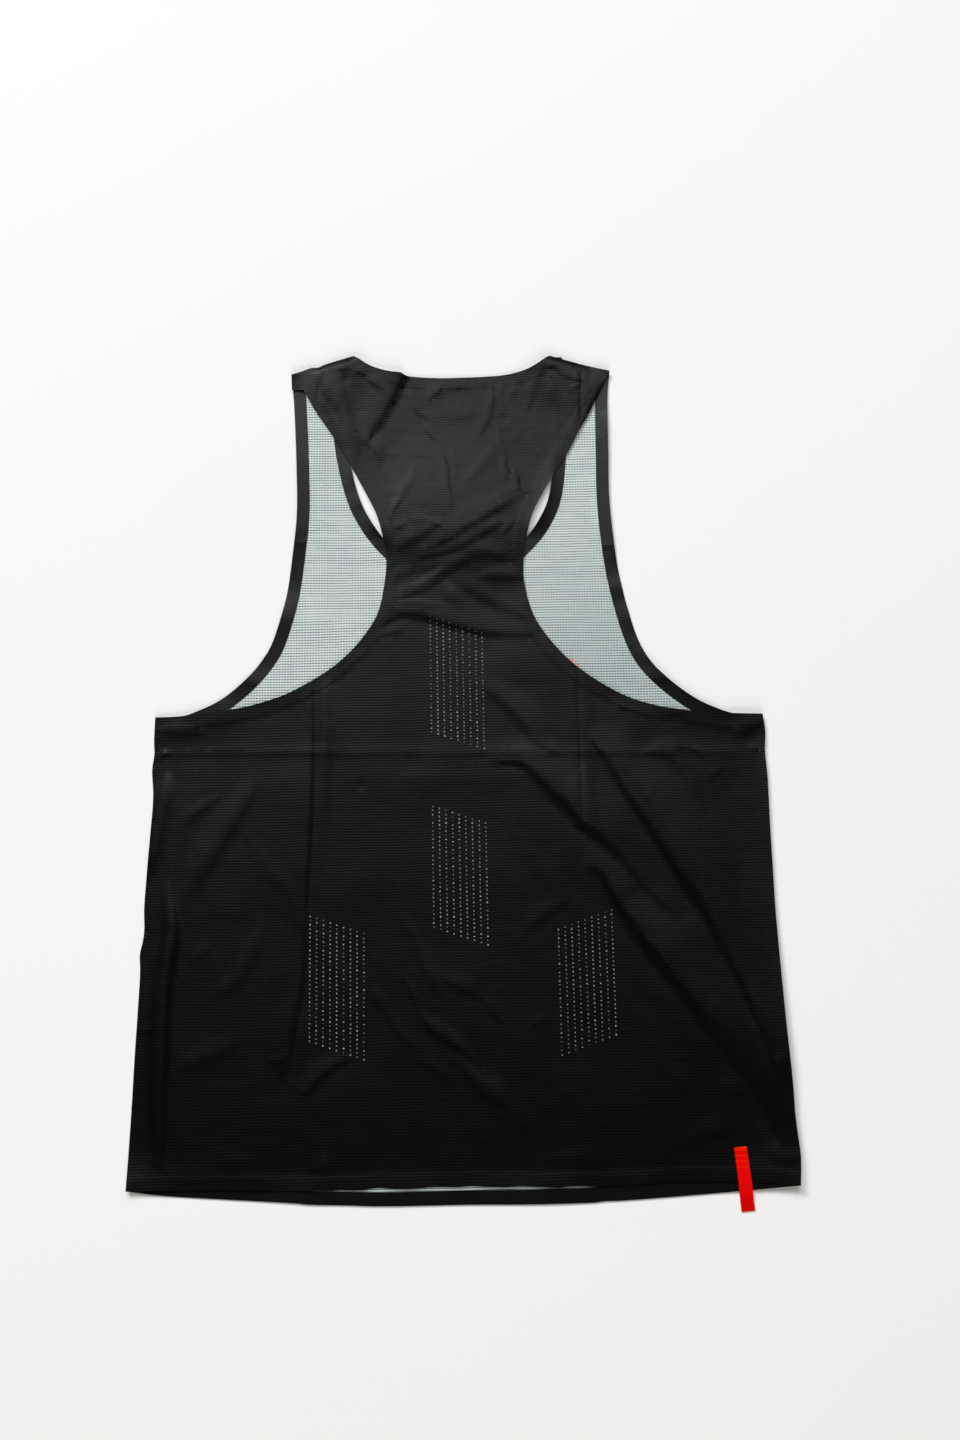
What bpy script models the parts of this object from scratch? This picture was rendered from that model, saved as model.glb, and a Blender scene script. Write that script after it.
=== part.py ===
"""A running singlet laid flat on a surface with its back up.

The front lies face down on the surface. The racer back lies on top of it, over the tapes that
are bonded to the inside of the front's armholes, neck and hem. Each cut piece of cloth is one
closed wall, and its lowest face is a height field over the garment's outline.

Sizes are in millimetres: x is across the garment, +x to the right, y is the height above the
back hem, towards the shoulders, and z is up. The model is centred on its own box at the end.
"""

import math

import bpy
from mathutils import Vector
from mathutils.geometry import delaunay_2d_cdt

MM = 0.001

# Cloth and tape
CLOTH = 1.1
SEAM_GAP = 0.3
TAPE_WIDTH = 10.4
TAPE_RUN_OUT = 11.0

# How the pieces lie on each other: the underside of each layer
FRONT_LOW = 0.0
TAPE_LOW = FRONT_LOW + CLOTH + SEAM_GAP
BACK_LOW = FRONT_LOW + CLOTH + SEAM_GAP
BACK_LOW_ON_TAPE = TAPE_LOW + CLOTH + SEAM_GAP

# The hem tab: a tape folded double
TAB_WIDTH = 10.3
TAB_THICKNESS = 1.4
TAB_TOP = (210.0, 24.4)
TAB_END = (213.9, -21.9)
TAB_CLEAR_OF_BACK = 5.0
TAB_CLEAR_OF_FRONT = 10.5
TAB_TOUCHDOWN = 17.0
TAB_STEP = 4.0

# Mesh fineness
EDGE_STEP = 9.0
CELL = 14.0
CELL_MARGIN = 6.5
LINE_OVERRUN = 3.0
SAME_POINT = 0.2
MERGE_DISTANCE = 0.001
SHARP_ANGLE = math.radians(35.0)

# Corners where the two panels are seamed together
HEM_LEFT = (-255.0, 0.8)
HEM_RIGHT = (252.2, -4.2)
UNDERARM_LEFT = (-244.2, 368.8)
UNDERARM_RIGHT = (247.1, 362.5)

# Side seams, from the hem up: x, y
SIDE_LEFT = (HEM_LEFT, (-252.6, 60.0), (-250.3, 116.6), (-246.9, 198.0), (-246.6, 290.0), UNDERARM_LEFT)
SIDE_RIGHT = (HEM_RIGHT, (250.2, 80.0), (247.3, 157.3), (246.6, 250.0), (246.4, 330.0), UNDERARM_RIGHT)

# The front's armholes, from the underarm to the shoulder: left x, left y, right x, right y
FRONT_ARMHOLE = (
    (-224.3, 369.0, 226.2, 363.3),
    (-207.4, 374.6, 207.0, 369.9),
    (-190.8, 383.0, 190.0, 379.4),
    (-171.3, 399.2, 171.0, 395.2),
    (-157.6, 416.0, 157.0, 411.6),
    (-148.9, 432.7, 147.3, 433.4),
    (-139.4, 466.8, 138.3, 470.2),
    (-134.0, 505.0, 133.2, 505.2),
    (-130.7, 540.0, 130.2, 550.0),
    (-131.2, 580.0, 130.8, 590.0),
    (-133.4, 630.0, 132.0, 640.0),
)

# The front's neckline, from the left neck point down to the middle and up again: y, left x, right x
FRONT_NECK = (
    (681.0, -83.5, 84.0),
    (650.0, -88.5, 86.0),
    (613.0, -90.0, 86.0),
    (580.4, -85.4, 84.0),
    (553.4, -78.3, 79.8),
    (535.5, -70.0, 72.6),
    (520.3, -60.0, 62.3),
    (503.0, -43.5, 44.5),
    (491.0, -22.5, 22.5),
)
FRONT_NECK_BOTTOM = (0.0, 486.5)

# The front hem hangs below the back hem, from left to right: x, y
FRONT_HEM = (HEM_LEFT, (-205.0, -4.8), (-139.0, -9.5), (-60.0, -13.2), (10.0, -14.7), (80.0, -13.6),
             (150.0, -10.6), (205.0, -8.0), HEM_RIGHT)
BACK_HEM = (HEM_LEFT, (-107.0, 0.6), (-7.0, -0.8), (103.5, -3.4), HEM_RIGHT)

# The edge of the racer back, from the underarm to the shoulder: left x, left y, right x, right y
RACER_EDGE = (
    (-224.3, 369.1, 226.2, 363.4),
    (-194.0, 372.5, 198.0, 365.4),
    (-163.7, 378.0, 159.3, 372.1),
    (-130.5, 390.0, 127.3, 385.2),
    (-93.1, 414.6, 92.3, 411.2),
    (-66.1, 448.3, 66.2, 445.8),
    (-57.6, 482.7, 57.1, 480.5),
    (-57.0, 507.0, 58.6, 507.0),
    (-63.3, 535.4, 64.0, 533.0),
    (-70.8, 553.3, 72.0, 550.7),
    (-87.6, 589.4, 91.9, 586.1),
    (-105.9, 620.1, 113.3, 622.0),
    (-125.5, 652.0, 125.0, 646.0),
)
SHOULDER_LEFT = (-135.8, 666.0)
SHOULDER_RIGHT = (134.6, 664.4)

# The back neckline, from left to right: x, y
BACK_NECK = ((-83.5, 683.4), (-69.4, 674.8), (-50.0, 668.2), (-25.0, 665.0), (2.8, 661.6), (28.0, 662.8),
             (49.8, 664.6), (68.0, 670.0), (84.0, 680.4))

# The largest folds that stand up in the back panel: height, half width, then the crest's route
FOLDS = (
    {"name": "long diagonal", "height": 4.2, "half_width": 20.0,
     "crest": ((20.0, 330.0), (66.0, 299.0), (116.0, 258.0), (139.0, 211.0), (168.0, 150.0), (197.0, 108.0),
               (229.0, 75.0))},
    {"name": "outer diagonal", "height": 3.2, "half_width": 18.0,
     "crest": ((105.0, 335.0), (131.0, 296.0), (162.0, 252.0), (187.0, 205.0), (215.0, 158.0), (232.0, 122.0))},
    {"name": "left side roll", "height": 2.4, "half_width": 15.0,
     "crest": ((-226.0, 235.0), (-223.0, 170.0), (-222.0, 100.0), (-224.0, 40.0))},
    {"name": "racer tuck", "height": 4.6, "half_width": 15.0,
     "crest": ((-44.0, 458.0), (-14.0, 454.0), (24.0, 443.0), (52.0, 440.0))},
    {"name": "racer wrinkle low", "height": 2.6, "half_width": 13.0,
     "crest": ((-40.0, 470.0), (-5.0, 480.0), (40.0, 506.0))},
    {"name": "racer wrinkle high", "height": 2.4, "half_width": 13.0,
     "crest": ((-28.0, 507.0), (5.0, 519.0), (45.0, 545.0))},
    {"name": "left shoulder fold", "height": 3.4, "half_width": 14.0,
     "crest": ((-44.0, 655.0), (-58.0, 632.0), (-80.0, 604.0))},
    {"name": "left strap ridge", "height": 2.2, "half_width": 13.0,
     "crest": ((-106.0, 664.0), (-96.0, 630.0), (-78.0, 596.0), (-62.0, 560.0))},
    {"name": "right strap ridge", "height": 2.0, "half_width": 13.0,
     "crest": ((104.0, 660.0), (100.0, 628.0), (84.0, 596.0))},
)
FOLD_END_TAPER = 26.0
FOLD_END_SHARE = 0.25


def clear_scene():
    for thing in list(bpy.data.objects):
        bpy.data.objects.remove(thing, do_unlink=True)


def make_material(name, colour, roughness):
    material = bpy.data.materials.new(name)
    material.use_nodes = True
    shader = material.node_tree.nodes["Principled BSDF"]
    shader.inputs["Base Color"].default_value = (*colour, 1.0)
    shader.inputs["Roughness"].default_value = roughness
    shader.inputs["Metallic"].default_value = 0.0
    material.diffuse_color = (*colour, 1.0)
    return material


def smooth_step(value):
    value = min(max(value, 0.0), 1.0)
    return value * value * (3.0 - 2.0 * value)


def catmull_rom(before, start, end, after, share):
    """The point at this share of the way from start to end, on a curve through all four."""
    squared = share * share
    cubed = squared * share
    return (before * (-0.5 * cubed + squared - 0.5 * share)
            + start * (1.5 * cubed - 2.5 * squared + 1.0)
            + end * (-1.5 * cubed + 2.0 * squared + 0.5 * share)
            + after * (0.5 * cubed - 0.5 * squared))


def smooth_curve(points, step):
    """Points about one step apart on a smooth curve through the given ones."""
    knots = [Vector(point) for point in points]
    knots = [2 * knots[0] - knots[1]] + knots + [2 * knots[-1] - knots[-2]]
    curve = [knots[1]]
    for index in range(1, len(knots) - 2):
        pieces = max(1, round((knots[index + 1] - knots[index]).length / step))
        for piece in range(1, pieces + 1):
            curve.append(catmull_rom(*knots[index - 1:index + 3], piece / pieces))
    return curve


def straight_line(start, end, step):
    start, end = Vector(start), Vector(end)
    pieces = max(1, round((end - start).length / step))
    return [start.lerp(end, piece / pieces) for piece in range(pieces + 1)]


def left_column(table):
    return [(row[0], row[1]) for row in table]


def right_column(table):
    return [(row[2], row[3]) for row in table]


def front_edges():
    """The front's edges as named curves: each runs with the cloth on its left side."""
    down_left = [(left, height) for height, left, right in FRONT_NECK]
    up_right = [(right, height) for height, left, right in reversed(FRONT_NECK)]
    left_armhole = smooth_curve([UNDERARM_LEFT] + left_column(FRONT_ARMHOLE) + [SHOULDER_LEFT], EDGE_STEP)
    right_armhole = smooth_curve([UNDERARM_RIGHT] + right_column(FRONT_ARMHOLE) + [SHOULDER_RIGHT], EDGE_STEP)
    neck = smooth_curve(down_left + [FRONT_NECK_BOTTOM] + up_right, EDGE_STEP)
    return {
        "hem": smooth_curve(FRONT_HEM, EDGE_STEP),
        "right_armhole": right_armhole,
        "neck": neck[::-1],
        "left_armhole": left_armhole[::-1],
    }


def joined_ring(*runs):
    """One closed outline from runs of points, with no point given twice."""
    ring = []
    for run in runs:
        for point in run:
            if not ring or (point - ring[-1]).length > SAME_POINT:
                ring.append(point)
    if (ring[0] - ring[-1]).length <= SAME_POINT:
        ring.pop()
    return ring


def front_outline(edges):
    return joined_ring(
        edges["hem"],
        smooth_curve(SIDE_RIGHT, EDGE_STEP),
        edges["right_armhole"],
        edges["neck"],
        edges["left_armhole"],
        smooth_curve(SIDE_LEFT, EDGE_STEP)[::-1],
    )


def back_outline():
    right_edge = smooth_curve([UNDERARM_RIGHT] + right_column(RACER_EDGE) + [SHOULDER_RIGHT], EDGE_STEP)
    left_edge = smooth_curve([UNDERARM_LEFT] + left_column(RACER_EDGE) + [SHOULDER_LEFT], EDGE_STEP)
    return joined_ring(
        smooth_curve(BACK_HEM, EDGE_STEP),
        smooth_curve(SIDE_RIGHT, EDGE_STEP),
        right_edge,
        straight_line(SHOULDER_RIGHT, BACK_NECK[-1], EDGE_STEP),
        smooth_curve(BACK_NECK[::-1], EDGE_STEP),
        straight_line(BACK_NECK[0], SHOULDER_LEFT, EDGE_STEP),
        left_edge[::-1],
        smooth_curve(SIDE_LEFT, EDGE_STEP)[::-1],
    )


def moved_inwards(curve, distance, start_seam, end_seam):
    """The curve moved to its left side, where the cloth is, with its ends on the two seams."""
    moved = []
    for index, point in enumerate(curve):
        before = curve[max(index - 1, 0)]
        after = curve[min(index + 1, len(curve) - 1)]
        along = (after - before).normalized()
        moved.append(point + Vector((-along.y, along.x)) * distance)
    ends = ((0, curve[1] - curve[0], start_seam), (-1, curve[-1] - curve[-2], end_seam))
    for index, along, seam in ends:
        slant = abs(along.normalized().cross(seam.normalized()))
        moved[index] = curve[index] + seam.normalized() * (distance / slant)
    return moved


def tape_inner_edges(edges):
    """The inner edge of each tape on the front, cut off along the seams that it runs into."""
    corners = {
        "hem": (HEM_LEFT, SIDE_LEFT[1], HEM_RIGHT, SIDE_RIGHT[1]),
        "right_armhole": (UNDERARM_RIGHT, SIDE_RIGHT[-2], SHOULDER_RIGHT, BACK_NECK[-1]),
        "neck": (BACK_NECK[-1], SHOULDER_RIGHT, BACK_NECK[0], SHOULDER_LEFT),
        "left_armhole": (SHOULDER_LEFT, BACK_NECK[0], UNDERARM_LEFT, SIDE_LEFT[-2]),
    }
    inner = {}
    for name, (start, start_to, end, end_to) in corners.items():
        start_seam = Vector(start_to) - Vector(start)
        end_seam = Vector(end_to) - Vector(end)
        inner[name] = moved_inwards(edges[name], TAPE_WIDTH, start_seam, end_seam)
    return inner


def lengthened(curve, distance):
    """The curve with both ends carried on, so that it crosses the outline it stops at."""
    start = curve[0] + (curve[0] - curve[1]).normalized() * distance
    end = curve[-1] + (curve[-1] - curve[-2]).normalized() * distance
    return [start] + curve + [end]


def nearest_on(curve, point):
    """The distance from a point to a curve, and how far along the curve the nearest place is."""
    best, place, travelled = math.inf, 0.0, 0.0
    for start, end in zip(curve, curve[1:]):
        along = end - start
        share = min(max((point - start).dot(along) / along.length_squared, 0.0), 1.0)
        distance = (start + along * share - point).length
        if distance < best:
            best, place = distance, travelled + share * along.length
        travelled += along.length
    return best, place, travelled


def is_inside(point, ring):
    """Whether a point is in a closed outline, by counting the edges to its right."""
    inside = False
    for start, end in zip(ring, ring[1:] + ring[:1]):
        if (start.y > point.y) != (end.y > point.y):
            crossing = start.x + (point.y - start.y) / (end.y - start.y) * (end.x - start.x)
            if point.x < crossing:
                inside = not inside
    return inside


def cells_inside(ring, lines):
    """A triangular grid of points in an outline, clear of its edge and of the given lines."""
    rows = CELL * math.sqrt(0.75)
    low_x, high_x = min(p.x for p in ring), max(p.x for p in ring)
    low_y, high_y = min(p.y for p in ring), max(p.y for p in ring)
    edges = [ring + ring[:1]] + lines
    cells = []
    for row in range(int((high_y - low_y) / rows)):
        for column in range(int((high_x - low_x) / CELL) + 1):
            point = Vector((low_x + CELL * (column + 0.5 * (row % 2)), low_y + rows * (row + 0.5)))
            if is_inside(point, ring) and all(nearest_on(edge, point)[0] > CELL_MARGIN for edge in edges):
                cells.append(point)
    return cells


def triangulate(ring, lines, cells):
    """Triangles that fill an outline, with an edge along each of the given lines."""
    points = list(ring)
    edges = [(index, (index + 1) % len(ring)) for index in range(len(ring))]
    for line in lines:
        first = len(points)
        points.extend(line)
        edges.extend((index, index + 1) for index in range(first, len(points) - 1))
    points.extend(cells)
    places, _, faces, *_ = delaunay_2d_cdt(points, edges, [], 0, MERGE_DISTANCE)
    filled = []
    for face in faces:
        middle = sum((places[index] for index in face), Vector((0.0, 0.0))) / 3.0
        if is_inside(middle, ring):
            filled.append(face)
    return places, filled


def add_object(name, vertices, faces, material):
    mesh = bpy.data.meshes.new(name)
    mesh.from_pydata([(x * MM, y * MM, z * MM) for x, y, z in vertices], [], faces)
    mesh.materials.append(material)
    mesh.shade_smooth()
    mesh.set_sharp_from_angle(angle=SHARP_ANGLE)
    thing = bpy.data.objects.new(name, mesh)
    bpy.context.collection.objects.link(thing)
    return thing


def add_wall(name, places, faces, lows, thickness, material):
    """A closed wall from a filled outline: its underside at the given heights, its top above it."""
    used = sorted({index for face in faces for index in face})
    number = {index: count for count, index in enumerate(used)}
    bottom = [(places[index].x, places[index].y, lows[index]) for index in used]
    top = [(x, y, z + thickness) for x, y, z in bottom]
    count = len(used)
    directed = set()
    solid_faces = []
    for face in faces:
        a, b, c = (number[index] for index in face)
        solid_faces.append((a + count, b + count, c + count))
        solid_faces.append((c, b, a))
        directed.update(((a, b), (b, c), (c, a)))
    for a, b in sorted(directed):
        if (b, a) not in directed:
            solid_faces.append((a, b, b + count, a + count))
    return add_object(name, bottom + top, solid_faces, material)


def add_ribbon(name, right_edge, left_edge, right_lows, left_lows, thickness, material):
    """A band between two edges that have the same number of points."""
    count = len(right_edge)
    places = list(right_edge) + list(left_edge)
    faces = []
    for index in range(count - 1):
        faces.append((index, index + 1, index + 1 + count))
        faces.append((index, index + 1 + count, index + count))
    return add_wall(name, places, faces, right_lows + left_lows, thickness, material)


def fold_height(point):
    """How far the back's folds lift it here."""
    lift = 0.0
    for fold in FOLDS:
        distance, place, length = nearest_on([Vector(step) for step in fold["crest"]], point)
        across = 1.0 - smooth_step(distance / fold["half_width"])
        along = smooth_step(min(place, length - place) / FOLD_END_TAPER)
        share = FOLD_END_SHARE + (1.0 - FOLD_END_SHARE) * along
        lift = max(lift, fold["height"] * across * share)
    return lift


def back_low(point, tape_edges):
    """The back's underside: just above the front, higher where a tape lies between, and on folds."""
    nearest = min(nearest_on(edge, point)[0] for edge in tape_edges)
    beside_tape = smooth_step((nearest - TAPE_WIDTH) / TAPE_RUN_OUT)
    return BACK_LOW_ON_TAPE + (BACK_LOW - BACK_LOW_ON_TAPE) * beside_tape + fold_height(point)


def add_front_panel(outline, material):
    places, faces = triangulate(outline, [], [])
    return add_wall("front_panel", places, faces, [FRONT_LOW] * len(places), CLOTH, material)


def add_back_panel(edges, material):
    """The racer back: its mesh has an edge wherever a tape below it or the tab on it ends."""
    tape_edges = list(edges.values())
    lines = [lengthened(edge, LINE_OVERRUN) for edge in tape_inner_edges(edges).values()]
    lines += tab_sides()
    ring = back_outline()
    places, faces = triangulate(ring, lines, cells_inside(ring, lines))
    lows = [back_low(place, tape_edges) for place in places]
    return add_wall("back_panel", places, faces, lows, CLOTH, material)


def add_facings(edges, material):
    """The tapes on the inside of the front's edges, made from those edges."""
    names = {
        "left_armhole": "armhole_facing_left",
        "right_armhole": "armhole_facing_right",
        "neck": "front_neck_facing",
        "hem": "front_hem_facing",
    }
    inner_edges = tape_inner_edges(edges)
    for edge_name, node in names.items():
        outer, inner = edges[edge_name], inner_edges[edge_name]
        add_ribbon(node, outer, inner, [TAPE_LOW] * len(outer), [TAPE_LOW] * len(inner), CLOTH, material)


def tab_low(point, edges):
    """The tab's underside: on the back panel, then down over both hems to the surface."""
    tape_edges = list(edges.values())
    on_back = back_low(point, tape_edges) + CLOTH + SEAM_GAP
    on_front = TAPE_LOW + CLOTH + SEAM_GAP
    below_hem = -point.y
    if below_hem <= TAB_CLEAR_OF_BACK:
        return on_back
    if below_hem <= TAB_CLEAR_OF_FRONT:
        share = (below_hem - TAB_CLEAR_OF_BACK) / (TAB_CLEAR_OF_FRONT - TAB_CLEAR_OF_BACK)
        return on_back + (on_front - on_back) * share
    share = min((below_hem - TAB_CLEAR_OF_FRONT) / (TAB_TOUCHDOWN - TAB_CLEAR_OF_FRONT), 1.0)
    return on_front * (1.0 - share)


def tab_sides():
    """The tab's right and left side, from its top to its end."""
    top, end = Vector(TAB_TOP), Vector(TAB_END)
    along = (end - top).normalized()
    across = Vector((-along.y, along.x)) * (TAB_WIDTH / 2)
    steps_on_back = round((TAB_TOP[1] + TAB_CLEAR_OF_BACK) / TAB_STEP)
    heights = [TAB_TOP[1] - TAB_STEP * step for step in range(steps_on_back)]
    heights += [-TAB_CLEAR_OF_BACK, -TAB_CLEAR_OF_FRONT, -TAB_TOUCHDOWN, TAB_END[1]]
    middle = [top + along * ((TAB_TOP[1] - height) / -along.y) for height in heights]
    return [point - across for point in middle], [point + across for point in middle]


def add_hem_tab(edges, material):
    """The folded tape on the back, made from the back's points moved out."""
    right_side, left_side = tab_sides()
    right_lows = [tab_low(point, edges) for point in right_side]
    left_lows = [tab_low(point, edges) for point in left_side]
    add_ribbon("hem_tab", right_side, left_side, right_lows, left_lows, TAB_THICKNESS, material)


def centre_on_own_box():
    """Puts the origin at the middle of the garment's box, on the surface that it lies on."""
    meshes = [thing.data for thing in bpy.data.objects]
    xs = [vertex.co.x for mesh in meshes for vertex in mesh.vertices]
    ys = [vertex.co.y for mesh in meshes for vertex in mesh.vertices]
    shift = Vector((-(min(xs) + max(xs)) / 2, -(min(ys) + max(ys)) / 2, 0.0))
    for mesh in meshes:
        for vertex in mesh.vertices:
            vertex.co += shift


def build():
    clear_scene()
    knit = make_material("back_knit", (0.012, 0.012, 0.013), 0.8)
    inside = make_material("front_knit", (0.62, 0.71, 0.73), 0.85)
    tape = make_material("tape", (0.015, 0.015, 0.016), 0.55)
    red = make_material("tab", (0.85, 0.03, 0.005), 0.6)
    edges = front_edges()
    add_front_panel(front_outline(edges), inside)
    add_facings(edges, tape)
    add_back_panel(edges, knit)
    add_hem_tab(edges, red)
    centre_on_own_box()


build()
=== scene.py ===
"""The looks of a running singlet that lies flat with its back up: fine cloth, tapes, tab and finish.

Garment places are in millimetres: x across from the garment's own centre line, y up from the back
hem towards the shoulders, z up from the surface that it lies on. to_frame() turns them into metres
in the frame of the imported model.
"""

import math

import bpy
import numpy as np
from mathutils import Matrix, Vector, noise
from mathutils.geometry import delaunay_2d_cdt
from mathutils.kdtree import KDTree


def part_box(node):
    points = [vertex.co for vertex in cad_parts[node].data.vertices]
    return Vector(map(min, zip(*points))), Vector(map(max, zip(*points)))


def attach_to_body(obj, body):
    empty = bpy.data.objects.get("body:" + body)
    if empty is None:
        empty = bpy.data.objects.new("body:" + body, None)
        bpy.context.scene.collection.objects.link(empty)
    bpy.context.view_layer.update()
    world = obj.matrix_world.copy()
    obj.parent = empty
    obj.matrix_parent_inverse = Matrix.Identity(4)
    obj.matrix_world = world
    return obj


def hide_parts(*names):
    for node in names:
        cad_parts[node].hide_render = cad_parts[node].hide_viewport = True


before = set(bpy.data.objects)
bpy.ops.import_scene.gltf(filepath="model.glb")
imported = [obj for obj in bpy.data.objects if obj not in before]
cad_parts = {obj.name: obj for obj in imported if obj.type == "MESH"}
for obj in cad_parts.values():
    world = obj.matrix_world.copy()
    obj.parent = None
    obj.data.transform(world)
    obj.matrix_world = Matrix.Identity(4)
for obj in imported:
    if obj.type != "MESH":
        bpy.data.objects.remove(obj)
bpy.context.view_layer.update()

MM = 0.001

# Thickness of the cloth and of the bonded tape, and the clearance between layers
CLOTH = 0.42
TAPE = 0.35
GAP = 0.10
TAPE_WIDTH = 10.4

# The hem tape widens by this share of x, and the back sinks beside a tape over this run
HEM_WIDENING = 0.0055
TAPE_RUN_OUT = 18.0

# Mesh fineness: steps along edges, tapes and curves, and the size of the triangles
EDGE_STEP = 2.6
TAPE_STEP = 0.8 * EDGE_STEP
CURVE_STEP = 1.0
BACK_CELL = 3.0
FRONT_CELL = 3.6
TAPE_CELLS_ACROSS = 4
SAME_POINT = 0.2
SHARP_ANGLE = math.radians(50.0)

# How far the triangles' own corners keep from the outline and from a mesh line, in cells, and from a
# vent hole's middle, in radii
CELLS_TO_EDGE = 0.55
CELLS_TO_LINE = 0.62
RADII_TO_VENT = 1.9

# A fold's mesh lines run where it has more than this share of its height: along its crest and along the
# foot of a flank up to LINED_FLANK wide, down the flank's middle too if it is at least HALVED_FLANK
# wide, and just past its foot if its shape is CRISP_FOOT or less
LINED_CREST = 0.15
LINED_FLANK = 10.0
HALVED_FLANK = 3.0
CRISP_FOOT = -0.8

# How far mesh lines keep from the outline and from the middle of a vent hole
LINE_TO_EDGE = 2.0
LINE_TO_VENT = 3.6

# A flank narrows down to this share of its width where its fold is low
LOW_FLANK = 0.35

# A flank up to LEANING_FLANK wide lies back more gently, LEAN times as wide, if it faces the shoulders
LEANING_FLANK = 12.0
LEAN = 1.8
LEAN_TOWARDS = (-0.26, 0.97)
LEAN_FROM = 0.2
LEAN_OVER = 0.5

# Corners where the two panels are seamed together
HEM_LEFT = (-255.2, 0.6)
HEM_RIGHT = (253.4, -4.2)
UNDERARM_LEFT = (-243.9, 368.8)
UNDERARM_RIGHT = (247.1, 362.5)
SHOULDER_LEFT = (-136.2, 666.4)
SHOULDER_RIGHT = (134.6, 665.0)
NECK_LEFT = (-83.7, 683.4)
NECK_RIGHT = (84.0, 680.4)

# Side seams, from the hem up: x, y
SIDE_LEFT = (
    HEM_LEFT, (-254.4, 30.0), (-253.2, 64.0), (-252.0, 104.0), (-251.0, 130.0), (-250.0, 162.0),
    (-250.6, 178.0), (-248.7, 188.0), (-247.7, 198.0), (-248.3, 215.0), (-247.2, 240.0), (-245.2, 273.0),
    (-243.9, 303.0), (-245.3, 325.0), (-243.9, 338.0), (-244.4, 350.0), UNDERARM_LEFT,
)
SIDE_RIGHT = (
    HEM_RIGHT, (254.7, 10.0), (254.8, 22.0), (252.9, 46.0), (252.3, 72.0), (250.4, 109.0), (249.2, 145.0),
    (248.3, 175.0), (247.6, 206.0), (247.7, 240.0), (247.6, 270.0), (247.9, 310.0), (247.2, 331.0),
    (248.4, 347.0), UNDERARM_RIGHT,
)

# The front's armholes, from the underarm to the shoulder: left x, left y, right x, right y
FRONT_ARMHOLE = (
    (-224.3, 369.0, 226.2, 363.3),
    (-207.4, 374.6, 207.0, 369.9),
    (-190.8, 383.0, 190.0, 379.4),
    (-171.3, 399.2, 171.0, 395.2),
    (-157.6, 416.0, 157.0, 411.6),
    (-148.9, 432.7, 147.3, 433.4),
    (-139.4, 466.8, 138.3, 470.2),
    (-134.0, 505.0, 133.2, 505.2),
    (-130.7, 540.0, 130.2, 550.0),
    (-131.2, 580.0, 130.8, 590.0),
    (-133.4, 630.0, 132.0, 640.0),
)

# The front's neckline, down from the neck points: y, left x, right x, and its lowest point
FRONT_NECK = (
    (681.0, -83.5, 84.0),
    (650.0, -88.5, 86.0),
    (613.0, -90.0, 86.0),
    (580.4, -85.4, 84.0),
    (553.4, -78.3, 79.8),
    (535.5, -70.0, 72.6),
    (520.3, -60.0, 62.3),
    (503.0, -43.5, 44.5),
    (491.0, -22.5, 22.5),
)
FRONT_NECK_BOTTOM = (0.0, 486.5)

# Hems from left to right: x, y. The front's hangs below the back's.
FRONT_HEM = (
    HEM_LEFT, (-226.0, -3.3), (-176.0, -7.0), (-129.0, -10.3), (-117.0, -11.6), (-90.0, -12.6),
    (-59.0, -13.8), (-1.0, -13.8), (45.0, -14.4), (80.0, -14.3), (98.0, -14.0), (107.0, -13.1),
    (117.5, -13.0), (147.0, -11.5), (198.0, -8.4), (229.0, -6.2), HEM_RIGHT,
)
BACK_HEM = (
    HEM_LEFT, (-226.5, 0.0), (-176.0, -0.6), (-107.0, -1.6), (-93.0, -1.2), (-79.0, -1.9), (-65.0, -0.4),
    (-44.0, -1.7), (-25.0, -0.5), (-6.0, -0.9), (8.0, -0.4), (30.0, -1.7), (44.0, -0.9), (70.0, -2.7),
    (82.0, -1.8), (104.0, -2.4), (133.0, -1.5), (160.0, -0.4), (185.0, -0.4), (204.0, -0.9),
    (229.0, -2.1), (246.0, -4.0), HEM_RIGHT,
)

# The edge of the racer back, from the underarm to the shoulder: x, y
RACER_LEFT = (
    UNDERARM_LEFT, (-224.3, 369.1), (-194.0, 372.5), (-163.7, 378.0), (-130.5, 390.0), (-93.1, 414.6),
    (-66.1, 448.3), (-57.6, 482.7), (-57.0, 507.0), (-63.3, 535.4), (-70.8, 553.3), (-87.6, 586.4),
    (-101.0, 610.3), (-115.3, 632.6), (-125.6, 651.6),
)
RACER_RIGHT = (
    UNDERARM_RIGHT, (226.2, 363.4), (198.0, 365.4), (159.3, 372.1), (127.3, 385.2), (92.3, 411.2),
    (66.2, 445.8), (57.1, 480.5), (58.6, 507.0), (64.0, 533.0), (72.0, 550.7), (83.0, 570.0),
    (95.5, 590.0), (106.2, 610.4), (116.0, 627.2), (123.2, 642.1), SHOULDER_RIGHT,
)

# The left strap's outer corner ends in a small rolled flap, with straight sides: x, y
FLAP_END = ((-126.9, 652.5), (-135.9, 652.7))

# Top edge of the back from the left shoulder to the right: x, y
LEFT_STRAP_TOP = (
    SHOULDER_LEFT, (-130.4, 668.5), (-119.1, 673.1), (-113.6, 673.2), (-108.3, 675.8), NECK_LEFT,
)
BACK_NECK = (
    NECK_LEFT, (-69.9, 674.2), (-54.4, 668.6), (-43.0, 667.0), (-37.9, 664.4), (-12.0, 662.2),
    (8.7, 662.3), (28.0, 662.8), (49.8, 664.6), (68.0, 670.0), NECK_RIGHT,
)

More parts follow.
